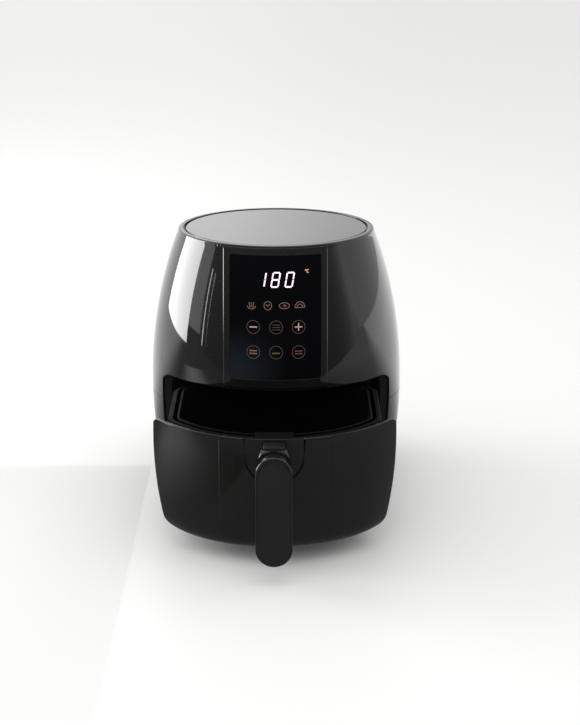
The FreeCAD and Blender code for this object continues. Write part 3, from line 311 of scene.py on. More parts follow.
def blockSolid(xs, ys, zs):
    points = [(x, y, z) for z in zs for x, y in corners(xs, ys)]
    sides = [(i, (i + 1) % 4, (i + 1) % 4 + 4, i + 4) for i in range(4)]
    return finishMesh("cutter", addMesh("cutter", points, [(3, 2, 1, 0), (4, 5, 6, 7)] + sides))


# materials

def nodeOf(nodes, kind):
    return next(n for n in nodes if n.type == kind)


def wire(links, *runs):  # each run is a node, its output, the next node and its input
    for first, outlet, second, inlet in runs:
        links.new(first.outputs[outlet], second.inputs[inlet])


def placesOf(nodes, links, kind="Object"):  # a surface's X, Y and Z
    place = nodes.new("ShaderNodeTexCoord")
    split = nodes.new("ShaderNodeSeparateXYZ")
    wire(links, (place, kind, split, 0))
    return split.outputs


def ramp(nodes, links, source, start, end, low, high):  # eases from low to high between two places
    step = nodes.new("ShaderNodeMapRange")
    step.interpolation_type = "SMOOTHSTEP"
    links.new(source, step.inputs["Value"])
    for socket, value in (("From Min", start), ("From Max", end), ("To Min", low), ("To Max", high)):
        step.inputs[socket].default_value = value
    return step.outputs["Result"]


def combine(nodes, links, operation, first, second):
    step = nodes.new("ShaderNodeMath")
    step.operation = operation
    links.new(first, step.inputs[0])
    links.new(second, step.inputs[1])
    return step.outputs[0]


def makeMaterial(name):
    material = bpy.data.materials.new(name)
    material.use_nodes = True
    nodes = material.node_tree.nodes
    return material, nodes, material.node_tree.links, nodeOf(nodes, "BSDF_PRINCIPLED")


mouldedFinish = {"grainDetail": 3.0, "driftDetail": 5.0, "driftLow": 0.3, "driftHigh": 0.7, "relief": 0.0002}


def makeSurfaceGroup():
    # shared finish: slow tone drift that also moves the roughness, and fine grain for bump
    v = mouldedFinish
    group = bpy.data.node_groups.new("mouldedFinish", "ShaderNodeTree")
    sockets = [(label, "INPUT", "Float") for label in ("Grain Scale", "Drift Scale", "Low Rough", "High Rough")]
    sockets += [("Dark Tone", "INPUT", "Color"), ("Light Tone", "INPUT", "Color")]
    sockets += [("Color", "OUTPUT", "Color"), ("Roughness", "OUTPUT", "Float"), ("Height", "OUTPUT", "Float")]
    for label, way, kind in sockets:
        group.interface.new_socket(name=label, in_out=way, socket_type="NodeSocket" + kind)
    nodes = group.nodes
    enter, leave = nodes.new("NodeGroupInput"), nodes.new("NodeGroupOutput")
    place = nodes.new("ShaderNodeTexCoord")
    grain, drift = nodes.new("ShaderNodeTexNoise"), nodes.new("ShaderNodeTexNoise")
    grain.inputs["Detail"].default_value = v["grainDetail"]
    drift.inputs["Detail"].default_value = v["driftDetail"]
    tone = nodes.new("ShaderNodeMix")
    tone.data_type = "RGBA"
    rough = nodes.new("ShaderNodeMapRange")
    rough.inputs["From Min"].default_value = v["driftLow"]
    rough.inputs["From Max"].default_value = v["driftHigh"]
    wire(group.links, (place, "Object", grain, "Vector"), (place, "Object", drift, "Vector"),
         (enter, "Grain Scale", grain, "Scale"), (enter, "Drift Scale", drift, "Scale"),
         (drift, "Fac", tone, "Factor"), (enter, "Dark Tone", tone, "A"), (enter, "Light Tone", tone, "B"),
         (drift, "Fac", rough, "Value"), (enter, "Low Rough", rough, "To Min"),
         (enter, "High Rough", rough, "To Max"), (tone, "Result", leave, "Color"),
         (rough, "Result", leave, "Roughness"), (grain, "Fac", leave, "Height"))
    return group


surfaceGroup = makeSurfaceGroup()


def mouldedMaterial(name, dark, light, rough, grain, bump, drift=18.0, **plain):
    material, nodes, links, shader = makeMaterial(name)
    finish = nodes.new("ShaderNodeGroup")
    finish.node_tree = surfaceGroup
    values = {"Grain Scale": grain, "Drift Scale": drift, "Low Rough": rough[0], "High Rough": rough[1],
              "Dark Tone": (*dark, 1), "Light Tone": (*light, 1)}
    for socket, value in values.items():
        finish.inputs[socket].default_value = value
    wire(links, (finish, "Color", shader, "Base Color"), (finish, "Roughness", shader, "Roughness"))
    if bump > 0:
        relief = nodes.new("ShaderNodeBump")
        relief.inputs["Strength"].default_value = bump
        relief.inputs["Distance"].default_value = mouldedFinish["relief"]
        wire(links, (finish, "Height", relief, "Height"), (relief, "Normal", shader, "Normal"))
    for socket, value in plain.items():
        shader.inputs[socket.replace("_", " ")].default_value = value
    return material


glossBlack = mouldedMaterial("glossBlack", (0.007, 0.0068, 0.0065), (0.011, 0.0106, 0.010), (0.03, 0.07),
                             1400, 0.0, Coat_Weight=0.8, Coat_Roughness=0.02)
drawerBlack = mouldedMaterial("drawerBlack", (0.009, 0.0088, 0.0085), (0.013, 0.0126, 0.012), (0.06, 0.12),
                              1400, 0.0)
mirrorBlack = mouldedMaterial("mirrorBlack", (0.010, 0.010, 0.011), (0.016, 0.016, 0.017), (0.02, 0.05),
                              1400, 0.0, Coat_Weight=1.0, Coat_Roughness=0.015, Coat_IOR=1.65, IOR=1.6)
# the glass's own dark tint, with a painted reflection added to it further down as a glow
tintedGlassWithPaintedReflection = mouldedMaterial("tintedGlassWithPaintedReflection", (0.0015, 0.0015, 0.002), (0.0025, 0.0025, 0.004), (0.02, 0.04),
                              1400, 0.0, IOR=1.25)
matteDark = mouldedMaterial("matteDark", (0.010, 0.010, 0.010), (0.017, 0.0165, 0.016), (0.45, 0.60),
                            2600, 0.25, Specular_IOR_Level=0.25)
softGrip = mouldedMaterial("softGrip", (0.010, 0.010, 0.010), (0.015, 0.0147, 0.0145), (0.50, 0.60), 3200, 0.22)
buttonSatin = mouldedMaterial("buttonSatin", (0.004, 0.004, 0.004), (0.007, 0.007, 0.007), (0.30, 0.40),
                              2600, 0.12, Specular_IOR_Level=0.3)
coatedPan = mouldedMaterial("coatedPan", (0.004, 0.004, 0.004), (0.007, 0.0068, 0.0065), (0.34, 0.46),
                            2200, 0.18, drift=40.0, Specular_IOR_Level=0.02)
coatedBasket = mouldedMaterial("coatedBasket", (0.0045, 0.0045, 0.0045), (0.008, 0.0078, 0.0075), (0.34, 0.46),
                               2200, 0.18, drift=40.0, Specular_IOR_Level=0.02)
bracketCoat = mouldedMaterial("bracketCoat", (0.002, 0.002, 0.002), (0.004, 0.004, 0.004), (0.45, 0.60),
                              2200, 0.18, Specular_IOR_Level=0.05)
blackRubber = mouldedMaterial("blackRubber", (0.016, 0.016, 0.016), (0.026, 0.026, 0.026), (0.62, 0.78),
                              1500, 0.35)
plateSteel = mouldedMaterial("plateSteel", (0.42, 0.42, 0.43), (0.56, 0.56, 0.57), (0.22, 0.34),
                             1800, 0.06, Metallic=1.0)
springSteel = mouldedMaterial("springSteel", (0.40, 0.40, 0.42), (0.52, 0.52, 0.54), (0.20, 0.30),
                              1800, 0.05, Metallic=1.0)
linerSheet = mouldedMaterial("linerSheet", (0.46, 0.46, 0.46), (0.58, 0.58, 0.58), (0.30, 0.46),
                             700, 0.15, drift=60.0, Metallic=1.0)
heaterSheath = mouldedMaterial("heaterSheath", (0.10, 0.085, 0.075), (0.19, 0.16, 0.14), (0.38, 0.55),
                               1600, 0.2, drift=45.0, Metallic=1.0)
motorCan = mouldedMaterial("motorCan", (0.16, 0.16, 0.165), (0.22, 0.22, 0.225), (0.34, 0.44),
                           1600, 0.1, Metallic=0.8)
ceramicWhite = mouldedMaterial("ceramicWhite", (0.66, 0.64, 0.58), (0.76, 0.74, 0.69), (0.55, 0.7), 1300, 0.25)
boardGreen = mouldedMaterial("boardGreen", (0.020, 0.085, 0.035), (0.035, 0.12, 0.055), (0.38, 0.5), 1200, 0.12)
displayFace = mouldedMaterial("displayFace", (0.030, 0.012, 0.012), (0.045, 0.018, 0.018), (0.2, 0.3),
                              1400, 0.05)

# ramps here and on the stage are start, end and the levels there
# painted reflection on the glass: the colour of the glow and the ramps that fade it in
paintedGlassReflection = {
    "tone": (0.0085, 0.0110, 0.0140),
    "across": (-0.045, 0.020, 1.0, 0.0),
    "down": (0.150, 0.205, 1.0, 0.0),
}


def addPaintedGlassReflection(material):  # painted reflection: a faint cool glow that fades in towards the lower left of the glass
    v = paintedGlassReflection
    nodes, links = material.node_tree.nodes, material.node_tree.links
    shader = nodeOf(nodes, "BSDF_PRINCIPLED")
    places = placesOf(nodes, links)
    across = ramp(nodes, links, places["X"], *v["across"])
    down = ramp(nodes, links, places["Z"], *v["down"])
    links.new(combine(nodes, links, "MULTIPLY", across, down), shader.inputs["Emission Strength"])
    shader.inputs["Emission Color"].default_value = (*v["tone"], 1)


addPaintedGlassReflection(tintedGlassWithPaintedReflection)


def litMaterial(name, dark, light):  # faintly uneven glow behind the glass
    material = mouldedMaterial(name, dark, light, (0.2, 0.3), 1400, 0.0, drift=220.0, Emission_Strength=1.0)
    nodes = material.node_tree.nodes
    wire(material.node_tree.links,
         (nodeOf(nodes, "GROUP"), "Color", nodeOf(nodes, "BSDF_PRINCIPLED"), "Emission Color"))
    return material


markWhite = litMaterial("markWhite", (0.70, 0.58, 0.66), (0.86, 0.74, 0.82))
markBright = litMaterial("markBright", (0.26, 0.165, 0.135), (0.34, 0.225, 0.185))
markCopper = litMaterial("markCopper", (0.10, 0.052, 0.037), (0.16, 0.090, 0.066))
markOrange = litMaterial("markOrange", (0.42, 0.23, 0.12), (0.55, 0.33, 0.19))
markOchre = litMaterial("markOchre", (0.075, 0.046, 0.020), (0.105, 0.066, 0.032))
markRed = litMaterial("markRed", (0.060, 0.020, 0.020), (0.090, 0.034, 0.034))
markDim = litMaterial("markDim", (0.035, 0.028, 0.022), (0.06, 0.048, 0.038))
print("materials done")

# finishes of the pieces that show their own CAD mesh
nodeFinishes = (
    (matteDark, "base_plate display_carrier top_cover bay_frame drawer_runners reed_switch exhaust_grille"),
    (matteDark, "exhaust_duct cooling_fan drawer_front_carrier release_latch"),
    (blackRubber, "rubber_feet cord_gland drawer_bumpers"),
    (plateSteel, "foot_screws base_screws heater_clips motor_bracket motor_screws temperature_sensor"),
    (plateSteel, "board_brackets motor_shaft fan_nut latch_keeper"),
    (boardGreen, "display_board power_board"),
    (displayFace, "led_display"),
    (linerSheet, "chamber_liner heat_shield circulation_fan"),
    (heaterSheath, "heating_element"),
    (ceramicWhite, "heater_insulators thermal_cutout"),
    (motorCan, "motor drawer_magnet"),
    (coatedBasket, "basket_floor"),
    (bracketCoat, "basket_bracket"),
)
for finish, nodeNames in nodeFinishes:
    for node in nodeNames.split():
        frame["nodes"][node].data.materials.clear()
        frame["nodes"][node].data.materials.append(finish)

# upper shell: skin of the barrel from the seam and the drawer's arch up to the rim

upperShell = {
    "openingDepth": 0.061,
    "openingTop": 0.1318,
    "openingCorner": 0.012,
    "openingHalf": 0.1198,
    "rimWidth": 0.0058,
    "rimRounding": 0.0020,
    "rimTurns": 6,
    "lip": 0.0006,
    "lipTurns": 3,
    "lidDrop": 0.006,
    "shelfWidth": 0.009,
    "edge": 0.0007,
    "seamEdge": 0.0004,
    "edgeTurns": 5,
    "seamSteps": 110,
    "sideSteps": 16,
    "cornerSteps": 12,
    "topSteps": 60,
    "rows": 40,
    "tightShare": 0.006,
    "underShare": 0.2,
    "insideShares": (0.955, 0.75, 0.5, 0.25, 0.0),
}


def openingOutline():  # round the lower edge of the shell, from the rear on the left to the rear again
    v = upperShell
    depth, high, corner = v["openingDepth"], v["openingTop"], v["openingCorner"]
    seamSteps, sideSteps = v["seamSteps"], v["sideSteps"]
    seam = barrel["seamHeight"] + barrel["seamGap"] / 2
    sideTurn = math.acos(depth / radiusAt(seam))
    cornerX, cornerZ = v["openingHalf"] - corner, high - corner
    sideX = math.sqrt(radiusAt(high) ** 2 - depth ** 2)
    lift = math.degrees(math.acos((sideX - cornerX) / corner))
    joint = cornerZ + corner * math.sin(math.radians(lift))
    half = [(sideTurn + (math.pi - sideTurn) * i / seamSteps, runAt(seam)) for i in range(seamSteps, 0, -1)]
    for i in range(sideSteps):  # up the side, where the flat of the opening meets the barrel
        z = seam + (joint - seam) * i / sideSteps
        half.append((math.acos(depth / radiusAt(z)), runAt(z)))
    half += wrapped(arc((cornerX, cornerZ), corner, lift, 90, v["cornerSteps"]))
    half += wrapped(line((cornerX, high), (0.0, high), v["topSteps"]))
    mirrored = [(-t, r) for t, r in half]
    return mirrored[1:] + [(0.0, runAt(high))] + half[:0:-1] + half[:1]


def makeUpperShell():
    v = upperShell
    wall, rounding, lip, rim = barrel["wall"], v["rimRounding"], v["lip"], barrel["rimHeight"]
    outline = openingOutline()
    lengths = [0.0]
    for (t0, r0), (t1, r1) in zip(outline, outline[1:]):
        lengths.append(lengths[-1] + math.hypot((t1 - t0) * barrel["radius"], r1 - r0))
    first, last = outline[0][0], outline[-1][0]
    topRun = runAt(rim - rounding)
    top = [(first + (last - first) * s / lengths[-1], topRun) for s in lengths]
    ways = inward(outline)
    seamRun = runAt(barrel["seamHeight"] + barrel["seamGap"])
    edges = [v["seamEdge"] if r < seamRun else v["edge"] for t, r in outline]

    def skinRow(share, offset, step):
        return laid(between(shifted(outline, ways, edges, step), top, share), [offset] * len(top), housingY)

    def rimRow(r, z):
        return [Vector((r * math.sin(t), housingY - r * math.cos(t), z)) for t, run in top]

    edgeShares = [(step, depth) for depth, step in easedEdge(v["edgeTurns"])[:-1]]
    grid = edgeRows(outline, ways, edges, edgeShares, 0.0, housingY)
    shares = [0.0, v["tightShare"]] + [i / v["rows"] for i in range(1, v["rows"] + 1)]
    grid += [skinRow(s, 0.0, 1.0) for s in shares]
    reach = profileAt(topRun)[0]
    inner = reach - v["rimWidth"]
    seat, shelf = rim - v["lidDrop"], inner - v["shelfWidth"]
    for drop, back in easedEdge(v["rimTurns"])[1:]:  # rounded outer edge of the rim
        grid.append(rimRow(reach - rounding * back, rim - rounding * drop))
    for out, drop in easedEdge(v["lipTurns"]):  # small rounding into the groove round the lid
        grid.append(rimRow(inner + lip * out, rim - lip * drop))
    grid += [rimRow(inner, seat), rimRow(shelf, seat), rimRow(shelf, seat - wall)]
    grid += [skinRow(s, -wall, v["underShare"]) for s in v["insideShares"]]
    return meshFrom("upperShellSkin", grid, True)


rearVents = {"low": 0.215, "high": 0.250, "width": 0.0024, "pitch": 0.007, "count": 11, "reach": 0.2}
grilleWindow = {"half": 0.038, "low": 0.147, "high": 0.173}


def makeRearCutters():
    v, w = rearVents, grilleWindow
    half, rear = v["width"] / 2, (housingY, housingY + v["reach"])
    cutters = [blockSolid((-w["half"], w["half"]), rear, (w["low"], w["high"]))]
    for index in range(v["count"]):
        middle = (index - (v["count"] - 1) / 2) * v["pitch"]
        cutters.append(blockSolid((middle - half, middle + half), rear, (v["low"], v["high"])))
    return cutters


shell = cutAway(makeUpperShell(), makeRearCutters())
dress(shell, "housing", "gloss_black", glossBlack, "upper_shell")
print("upper shell done")

# lower shell: the open band of the barrel behind the drawer, turned in under the base

lowerShell = {
    "openingDepth": 0.061,
    "edge": 0.0005,
    "floorRadius": 0.0951,
    "across": 150,
    "up": 50,
    "spineTurn": 1.35,
    "rows": 26,
}


def makeLowerShell():
    v = lowerShell
    across, up, near = v["across"], v["up"], v["spineTurn"]
    topRun = runAt(barrel["seamHeight"] - barrel["seamGap"] / 2)
    floorRun = blendRun - (blendAngle + math.pi / 2) * barrel["baseRounding"] - (roundR - v["floorRadius"])
    full = 2 * math.pi

    def sideSpot(i):  # where the flat of the opening meets the barrel
        run = floorRun + (topRun - floorRun) * i / up
        return math.acos(min(1.0, v["openingDepth"] / profileAt(run)[0])), run

    def there(turn, run):  # from the right of the opening round the rear to its left
        return line((turn, run), (full - turn, run), across)

    def back(turn, run):
        return line((full - turn, run), (turn, run), across)

    outline = there(sideSpot(0)[0], floorRun)
    outline += [(full - t, r) for t, r in [sideSpot(i) for i in range(up)]]
    outline += back(sideSpot(up)[0], topRun)
    outline += [sideSpot(up - i) for i in range(up)]
    middle = (topRun + floorRun) / 2
    spine = there(near, middle) + [(full - near, middle)] * up + back(near, middle) + [(near, middle)] * up
    return platePiece("lowerShellSkin", outline, spine, barrel["wall"], v["edge"], 0.0, housingY,
                      rows=v["rows"])


dress(makeLowerShell(), "housing", "gloss_black", glossBlack, "lower_shell")
print("lower shell done")

# drawer front: fascia, the lower half of the raised band, and the plate in its notch

drawerFront = {
    "plane": 0.062,
    "low": 0.014,
    "high": 0.1298,
    "corner": 0.007,
    "edge": 0.0008,
    "sideSteps": 44,
    "cornerSteps": 10,
    "topSteps": 40,
    "notchSteps": 16,
    "baseSteps": 110,
    "rows": 26,
    "spineHeight": 0.055,
    "spineTurn": 0.62,
    "spineShare": 0.75,
    "notchHalf": 0.0284,
    "notchDepth": 0.044,
    "notchGap": 0.0009,
    "bandHalf": 0.053,
    "bandProud": 0.0020,
    "bandRoot": 0.001,
    "bandLow": 0.042,
    "bandEdge": 0.0019,
    "bandBow": 1.25,
    "bandSteps": 30,
    "bandRows": 16,
    "bandSpineHeight": 0.062,
    "bandSpineHalf": 0.036,
    "bandSpineShare": 0.8,
    "plateEdge": 0.0006,
    "plateSteps": 24,
    "plateSpineHeight": 0.117,
    "plateSpineShare": 0.35,
}


def notchPath(margin, count):  # down the left of the U, round its foot and up the right
    v = drawerFront
    half = v["notchHalf"] + margin
    centre = v["high"] - v["notchDepth"] - margin + half
    points = line((-half, v["high"]), (-half, centre), count)
    points += arc((0.0, centre), half, 180, 360, 2 * count)
    return points + line((half, centre), (half, v["high"]), count)


def makeFascia():
    v = drawerFront
    low, high, corner, sideSteps = v["low"], v["high"], v["corner"], v["sideSteps"]
    cornerZ = high - corner
    cornerX = math.sqrt(radiusAt(cornerZ) ** 2 - v["plane"] ** 2) - corner
    right = []
    for i in range(sideSteps):
        z = low + (cornerZ - low) * i / sideSteps
        right.append((math.acos(v["plane"] / radiusAt(z)), runAt(z)))
    lowTurn, lowRun = right[0]
    right += wrapped(arc((cornerX, cornerZ), corner, 0, 90, v["cornerSteps"]))
    right += wrapped(line((cornerX, high), (v["notchHalf"], high), v["topSteps"]))
    notch = wrapped(notchPath(0.0, v["notchSteps"]))[::-1]
    left = [(-t, r) for t, r in right[::-1]]
    bottom = line((-lowTurn, lowRun), (lowTurn, lowRun), v["baseSteps"])[1:]
    outline = right + notch + left + bottom
    spineRun = runAt(v["spineHeight"])
    spine = [(clamp(t * v["spineShare"], v["spineTurn"]), spineRun) for t, r in outline]
    return platePiece("drawerFascia", outline, spine, barrel["wall"], v["edge"], 0.0, drawerY, rows=v["rows"])


def makeDrawerBand():
    v = drawerFront
    half, low, high, notch, count = v["bandHalf"], v["bandLow"], v["high"], v["notchHalf"], v["bandSteps"]
    hair = 1e-6
    path = line((-half, low), (half, low), 2 * count)
    path += line((half, low), (half, high), 2 * count)
    path += line((half, high), (notch, high), count)
    path += notchPath(0.0, v["notchSteps"])[::-1]
    path += line((-notch, high), (-half, high), count)
    path += line((-half, high), (-half, low), 2 * count)
    spine = [(clamp(x * v["bandSpineShare"], v["bandSpineHalf"]), v["bandSpineHeight"]) for x, z in path]
    edges = [v["bandEdge"] if abs(x) > half - hair or z < low + hair else v["edge"] for x, z in path]
    return platePiece("drawerBand", wrapped(path), wrapped(spine), v["bandProud"] + v["bandRoot"], edges,
                      v["bandProud"], drawerY, rows=v["bandRows"], bow=v["bandBow"])


def makeNotchPlate():
    v = drawerFront
    half, high, count = v["notchHalf"] - v["notchGap"], v["high"], v["plateSteps"]
    path = notchPath(-v["notchGap"], count) + line((half, high), (-half, high), 2 * count)
    spine = [(v["plateSpineShare"] * x, v["plateSpineHeight"]) for x, z in path]
    return platePiece("handlePlate", wrapped(path), wrapped(spine), v["bandProud"] + barrel["wall"],
                      v["plateEdge"], v["bandProud"], drawerY)


dress(makeFascia(), "drawer", "gloss_black", drawerBlack, "drawer_front")
dress(makeDrawerBand(), "drawer", "gloss_black", drawerBlack, "drawer_front")
dress(makeNotchPlate(), "drawer", "gloss_black", drawerBlack, "handle_mount")
print("drawer front done")

# raised band above the drawer and the control glass let into it

controlPanel = {
    "half": 0.053,
    "low": 0.1335,
    "high": 0.2725,
    "proud": 0.0020,
    "corner": 0.0015,
    "edge": 0.0016,
    "topEdge": 0.0003,
    "innerEdge": 0.0003,
    "bow": 1.25,
    "steps": (50, 70, 6, 6),
    "glassHalf": 0.0455,
    "glassLow": 0.144,
    "glassHigh": 0.2655,
    "glassCorner": 0.003,
    "glassGap": 0.0002,
    "glassSink": 0.00015,
    "glassThickness": 0.001,
    "glassEdge": 0.00025,
    "glassRows": 18,
    "spineHalf": 0.02,
    "spineShare": 0.4,
}


def glassPath(margin):
    v = controlPanel
    return roundedRect(v["glassHalf"] + margin, v["glassLow"] - margin, v["glassHigh"] + margin,
                       (v["glassCorner"], v["glassCorner"]), v["steps"])


def makeFrontPanel():
    v = controlPanel
    path = roundedRect(v["half"], v["low"], v["high"], (v["corner"], v["corner"]), v["steps"])
    outerEdges = [v["topEdge"] if z > v["high"] - v["corner"] else v["edge"] for x, z in path]
    edges = outerEdges, [v["innerEdge"]] * len(path)
    return ringPiece("controlSurround", wrapped(path), wrapped(glassPath(v["glassGap"])), v["proud"], edges,
                     v["proud"], housingY, v["bow"])


def makeControlGlass():
    v = controlPanel
    path = glassPath(0.0)
    middle = (v["glassLow"] + v["glassHigh"]) / 2
    spine = [(0.0, middle + clamp(v["spineShare"] * (z - middle), v["spineHalf"])) for x, z in path]
    return platePiece("controlGlass", wrapped(path), wrapped(spine), v["glassThickness"], v["glassEdge"],
                      v["proud"] - v["glassSink"], housingY, rows=v["glassRows"])


dress(makeFrontPanel(), "housing", "gloss_black", glossBlack, "front_panel")
dress(makeControlGlass(), "housing", "tinted_glass", tintedGlassWithPaintedReflection, "control_glass")
print("control panel done")

# lit marks on the glass: figures, four small signs and six round keys, laid out flat and wrapped on the barrel

displayMarks = {
    "thickness": 0.00012,
    "lift": 0.00003,
    "slant": math.radians(10),
    "figureLeft": (-0.0182, -0.0043, 0.0096),
    "figureLow": 0.2359,
    "figureHeight": 0.0137,
    "figureWidth": 0.0069,
    "figureStroke": 0.0014,
    "figureTrim": 0.0004,
    "signX": (-0.0237, -0.0074, 0.0090, 0.0244),
    "signZ": 0.2178,
    "signStroke": 0.0006,
    "unitX": 0.0318,
    "unitZ": 0.2506,
    "keyX": (-0.0219, 0.0008, 0.0231),
    "keyZ": (0.1966, 0.1716),
    "keyRadius": 0.0064,
    "keyStroke": 0.0005,
    "keySteps": 64,
    "barHalf": 0.0038,
    "barStroke": 0.0011,
    "plusStroke": 0.0010,
    "thinStroke": 0.0005,
    "ovalSteps": 28,
}
figureSegments = {"1": "bc", "8": "abcdefg", "0": "abcdef"}
segmentEnds = {
    "a": ((0, 1), (1, 1)), "b": ((1, 1), (1, 0.5)), "c": ((1, 0.5), (1, 0)), "d": ((1, 0), (0, 0)),
    "e": ((0, 0), (0, 0.5)), "f": ((0, 0.5), (0, 1)), "g": ((0, 0.5), (1, 0.5)),
}
# each line is a sign, its share of the stroke and its path from the sign's middle
signLines = (
    (0, 1.0, ((-0.0024, 0.0030), (-0.0016, -0.0022))),
    (0, 1.0, ((0.0, 0.0030), (0.0, -0.0022))),
    (0, 1.0, ((0.0024, 0.0030), (0.0016, -0.0022))),
    (1, 1.4, ((-0.0018, 0.0012), (0.0, -0.0004), (0.0018, 0.0012))),
    (2, 1.0, ((-0.0016, 0.0), (0.0022, 0.0))),
    (2, 1.0, ((0.0006, 0.0014), (0.0006, -0.0014))),
    (3, 1.0, ((-0.0048, -0.0022), (0.0048, -0.0022))),
)
# each oval is a sign or a stroke, its place from the middle, its half sizes and its angles
signOvals = (
    (0, (0.0, -0.0004), (0.0040, 0.0032), (180, 360)),
    (1, (0.0, 0.0), (0.0038, 0.0040), (0, 360)),
    (2, (0.0, 0.0), (0.0050, 0.0029), (0, 360)),
    (3, (0.0, -0.0022), (0.0048, 0.0056), (0, 180)),
    (3, (0.0, -0.0022), (0.0028, 0.0032), (0, 180)),
)
unitOvals = (
    (0.0004, (-0.0016, 0.0008), (0.0006, 0.0006), (0, 360)),
    (0.0006, (0.0006, -0.0003), (0.0011, 0.0014), (50, 310)),
)
# each key's piece, column, row, heights of its bars, stroke and material
keyMarks = (
    ("startBars", 0, 1, (0.0015, -0.0013), "barStroke", markCopper),
    ("menuLines", 1, 0, (0.0024, 0.0, -0.0024), "thinStroke", markDim),
    ("timerBar", 1, 1, (-0.0008,), "barStroke", markOchre),
    ("stopBars", 2, 1, (0.0010, -0.0016), "barStroke", markRed),
)


def addStroke(verts, faces, path, width, closed):  # a flat ribbon along a path, as a closed solid
    base, count = len(verts), len(path)
    for i, (x, z) in enumerate(path):
        x0, z0 = path[i - 1] if closed or i > 0 else path[i]
        x1, z1 = path[(i + 1) % count] if closed or i < count - 1 else path[i]
        size = math.hypot(x1 - x0, z1 - z0)
        across, up = -(z1 - z0) / size * width / 2, (x1 - x0) / size * width / 2
        for depth in (0.0, displayMarks["thickness"]):
            verts += [(x + across, z + up, depth), (x - across, z - up, depth)]
    for i in range(count if closed else count - 1):
        a, b = base + 4 * i, base + 4 * ((i + 1) % count)
        faces += [(a, a + 1, b + 1, b), (a + 2, b + 2, b + 3, a + 3)]
        faces += [(a, b, b + 2, a + 2), (a + 1, a + 3, b + 3, b + 1)]
    if not closed:
        end = base + 4 * (count - 1)
        faces += [(base, base + 2, base + 3, base + 1), (end, end + 1, end + 3, end + 2)]


def ovalStroke(middle, width, shift, half, angles):  # a closed ring, or an open bow between its angles
    start, end = angles
    closed = end - start == 360
    points = arc((0.0, 0.0), 1.0, start, end, displayMarks["ovalSteps"])
    if not closed:
        points.append((math.cos(math.radians(end)), math.sin(math.radians(end))))
    path = [(middle[0] + shift[0] + half[0] * x, middle[1] + shift[1] + half[1] * z) for x, z in points]
    return path, width, closed


def wrapOnGlass(mesh):  # from the flat layout to the face of the glass
    face = controlPanel["proud"] - controlPanel["glassSink"] + displayMarks["lift"]
    for vertex in mesh.vertices:
        x, z, depth = vertex.co
        turn, run = frontSpot(x, z)
        vertex.co = onBarrel(turn, run, face + depth, housingY)


def markPiece(name, strokes, material):
    verts, faces = [], []
    for path, width, closed in strokes:
        addStroke(verts, faces, path, width, closed)
    mesh = addMesh(name, verts, faces)
    wrapOnGlass(mesh)
    return dress(finishMesh(name, mesh), "housing", "display_face", material)


def figureStrokes():
    v = displayMarks
    wide, tall, trim = v["figureWidth"], v["figureHeight"], v["figureTrim"]
    strokes = []
    for figure, left in zip("180", v["figureLeft"]):
        for segment in figureSegments[figure]:
            (x0, z0), (x1, z1) = [(x * wide, z * tall) for x, z in segmentEnds[segment]]
            size = math.hypot(x1 - x0, z1 - z0)
            dx, dz = (x1 - x0) / size * trim, (z1 - z0) / size * trim
            path = [(x0 + dx, z0 + dz), (x1 - dx, z1 - dz)]
            path = [(left + x + z * math.tan(v["slant"]), v["figureLow"] + z) for x, z in path]
            strokes.append((path, v["figureStroke"], False))
    return strokes


def signStrokes():
    v = displayMarks
    middles = [(x, v["signZ"]) for x in v["signX"]]
    strokes = []
    for sign, share, path in signLines:
        x, z = middles[sign]
        strokes.append(([(x + dx, z + dz) for dx, dz in path], share * v["signStroke"], False))
    return strokes + [ovalStroke(middles[sign], v["signStroke"], *shape) for sign, *shape in signOvals]


def keyBars(column, row, rises, stroke):  # level bars in one key
    v = displayMarks
    x, z, half = v["keyX"][column], v["keyZ"][row], v["barHalf"]
    return [([(x - half, z + rise), (x + half, z + rise)], v[stroke], False) for rise in rises]


def minusAndPlusStrokes():
    v = displayMarks
    x, z, half = v["keyX"][2], v["keyZ"][0], v["barHalf"]
    upright = [(x, z - half), (x, z + half)]
    bars = keyBars(0, 0, (0.0,), "barStroke") + keyBars(2, 0, (0.0,), "plusStroke")
    return bars + [(upright, v["plusStroke"], False)]


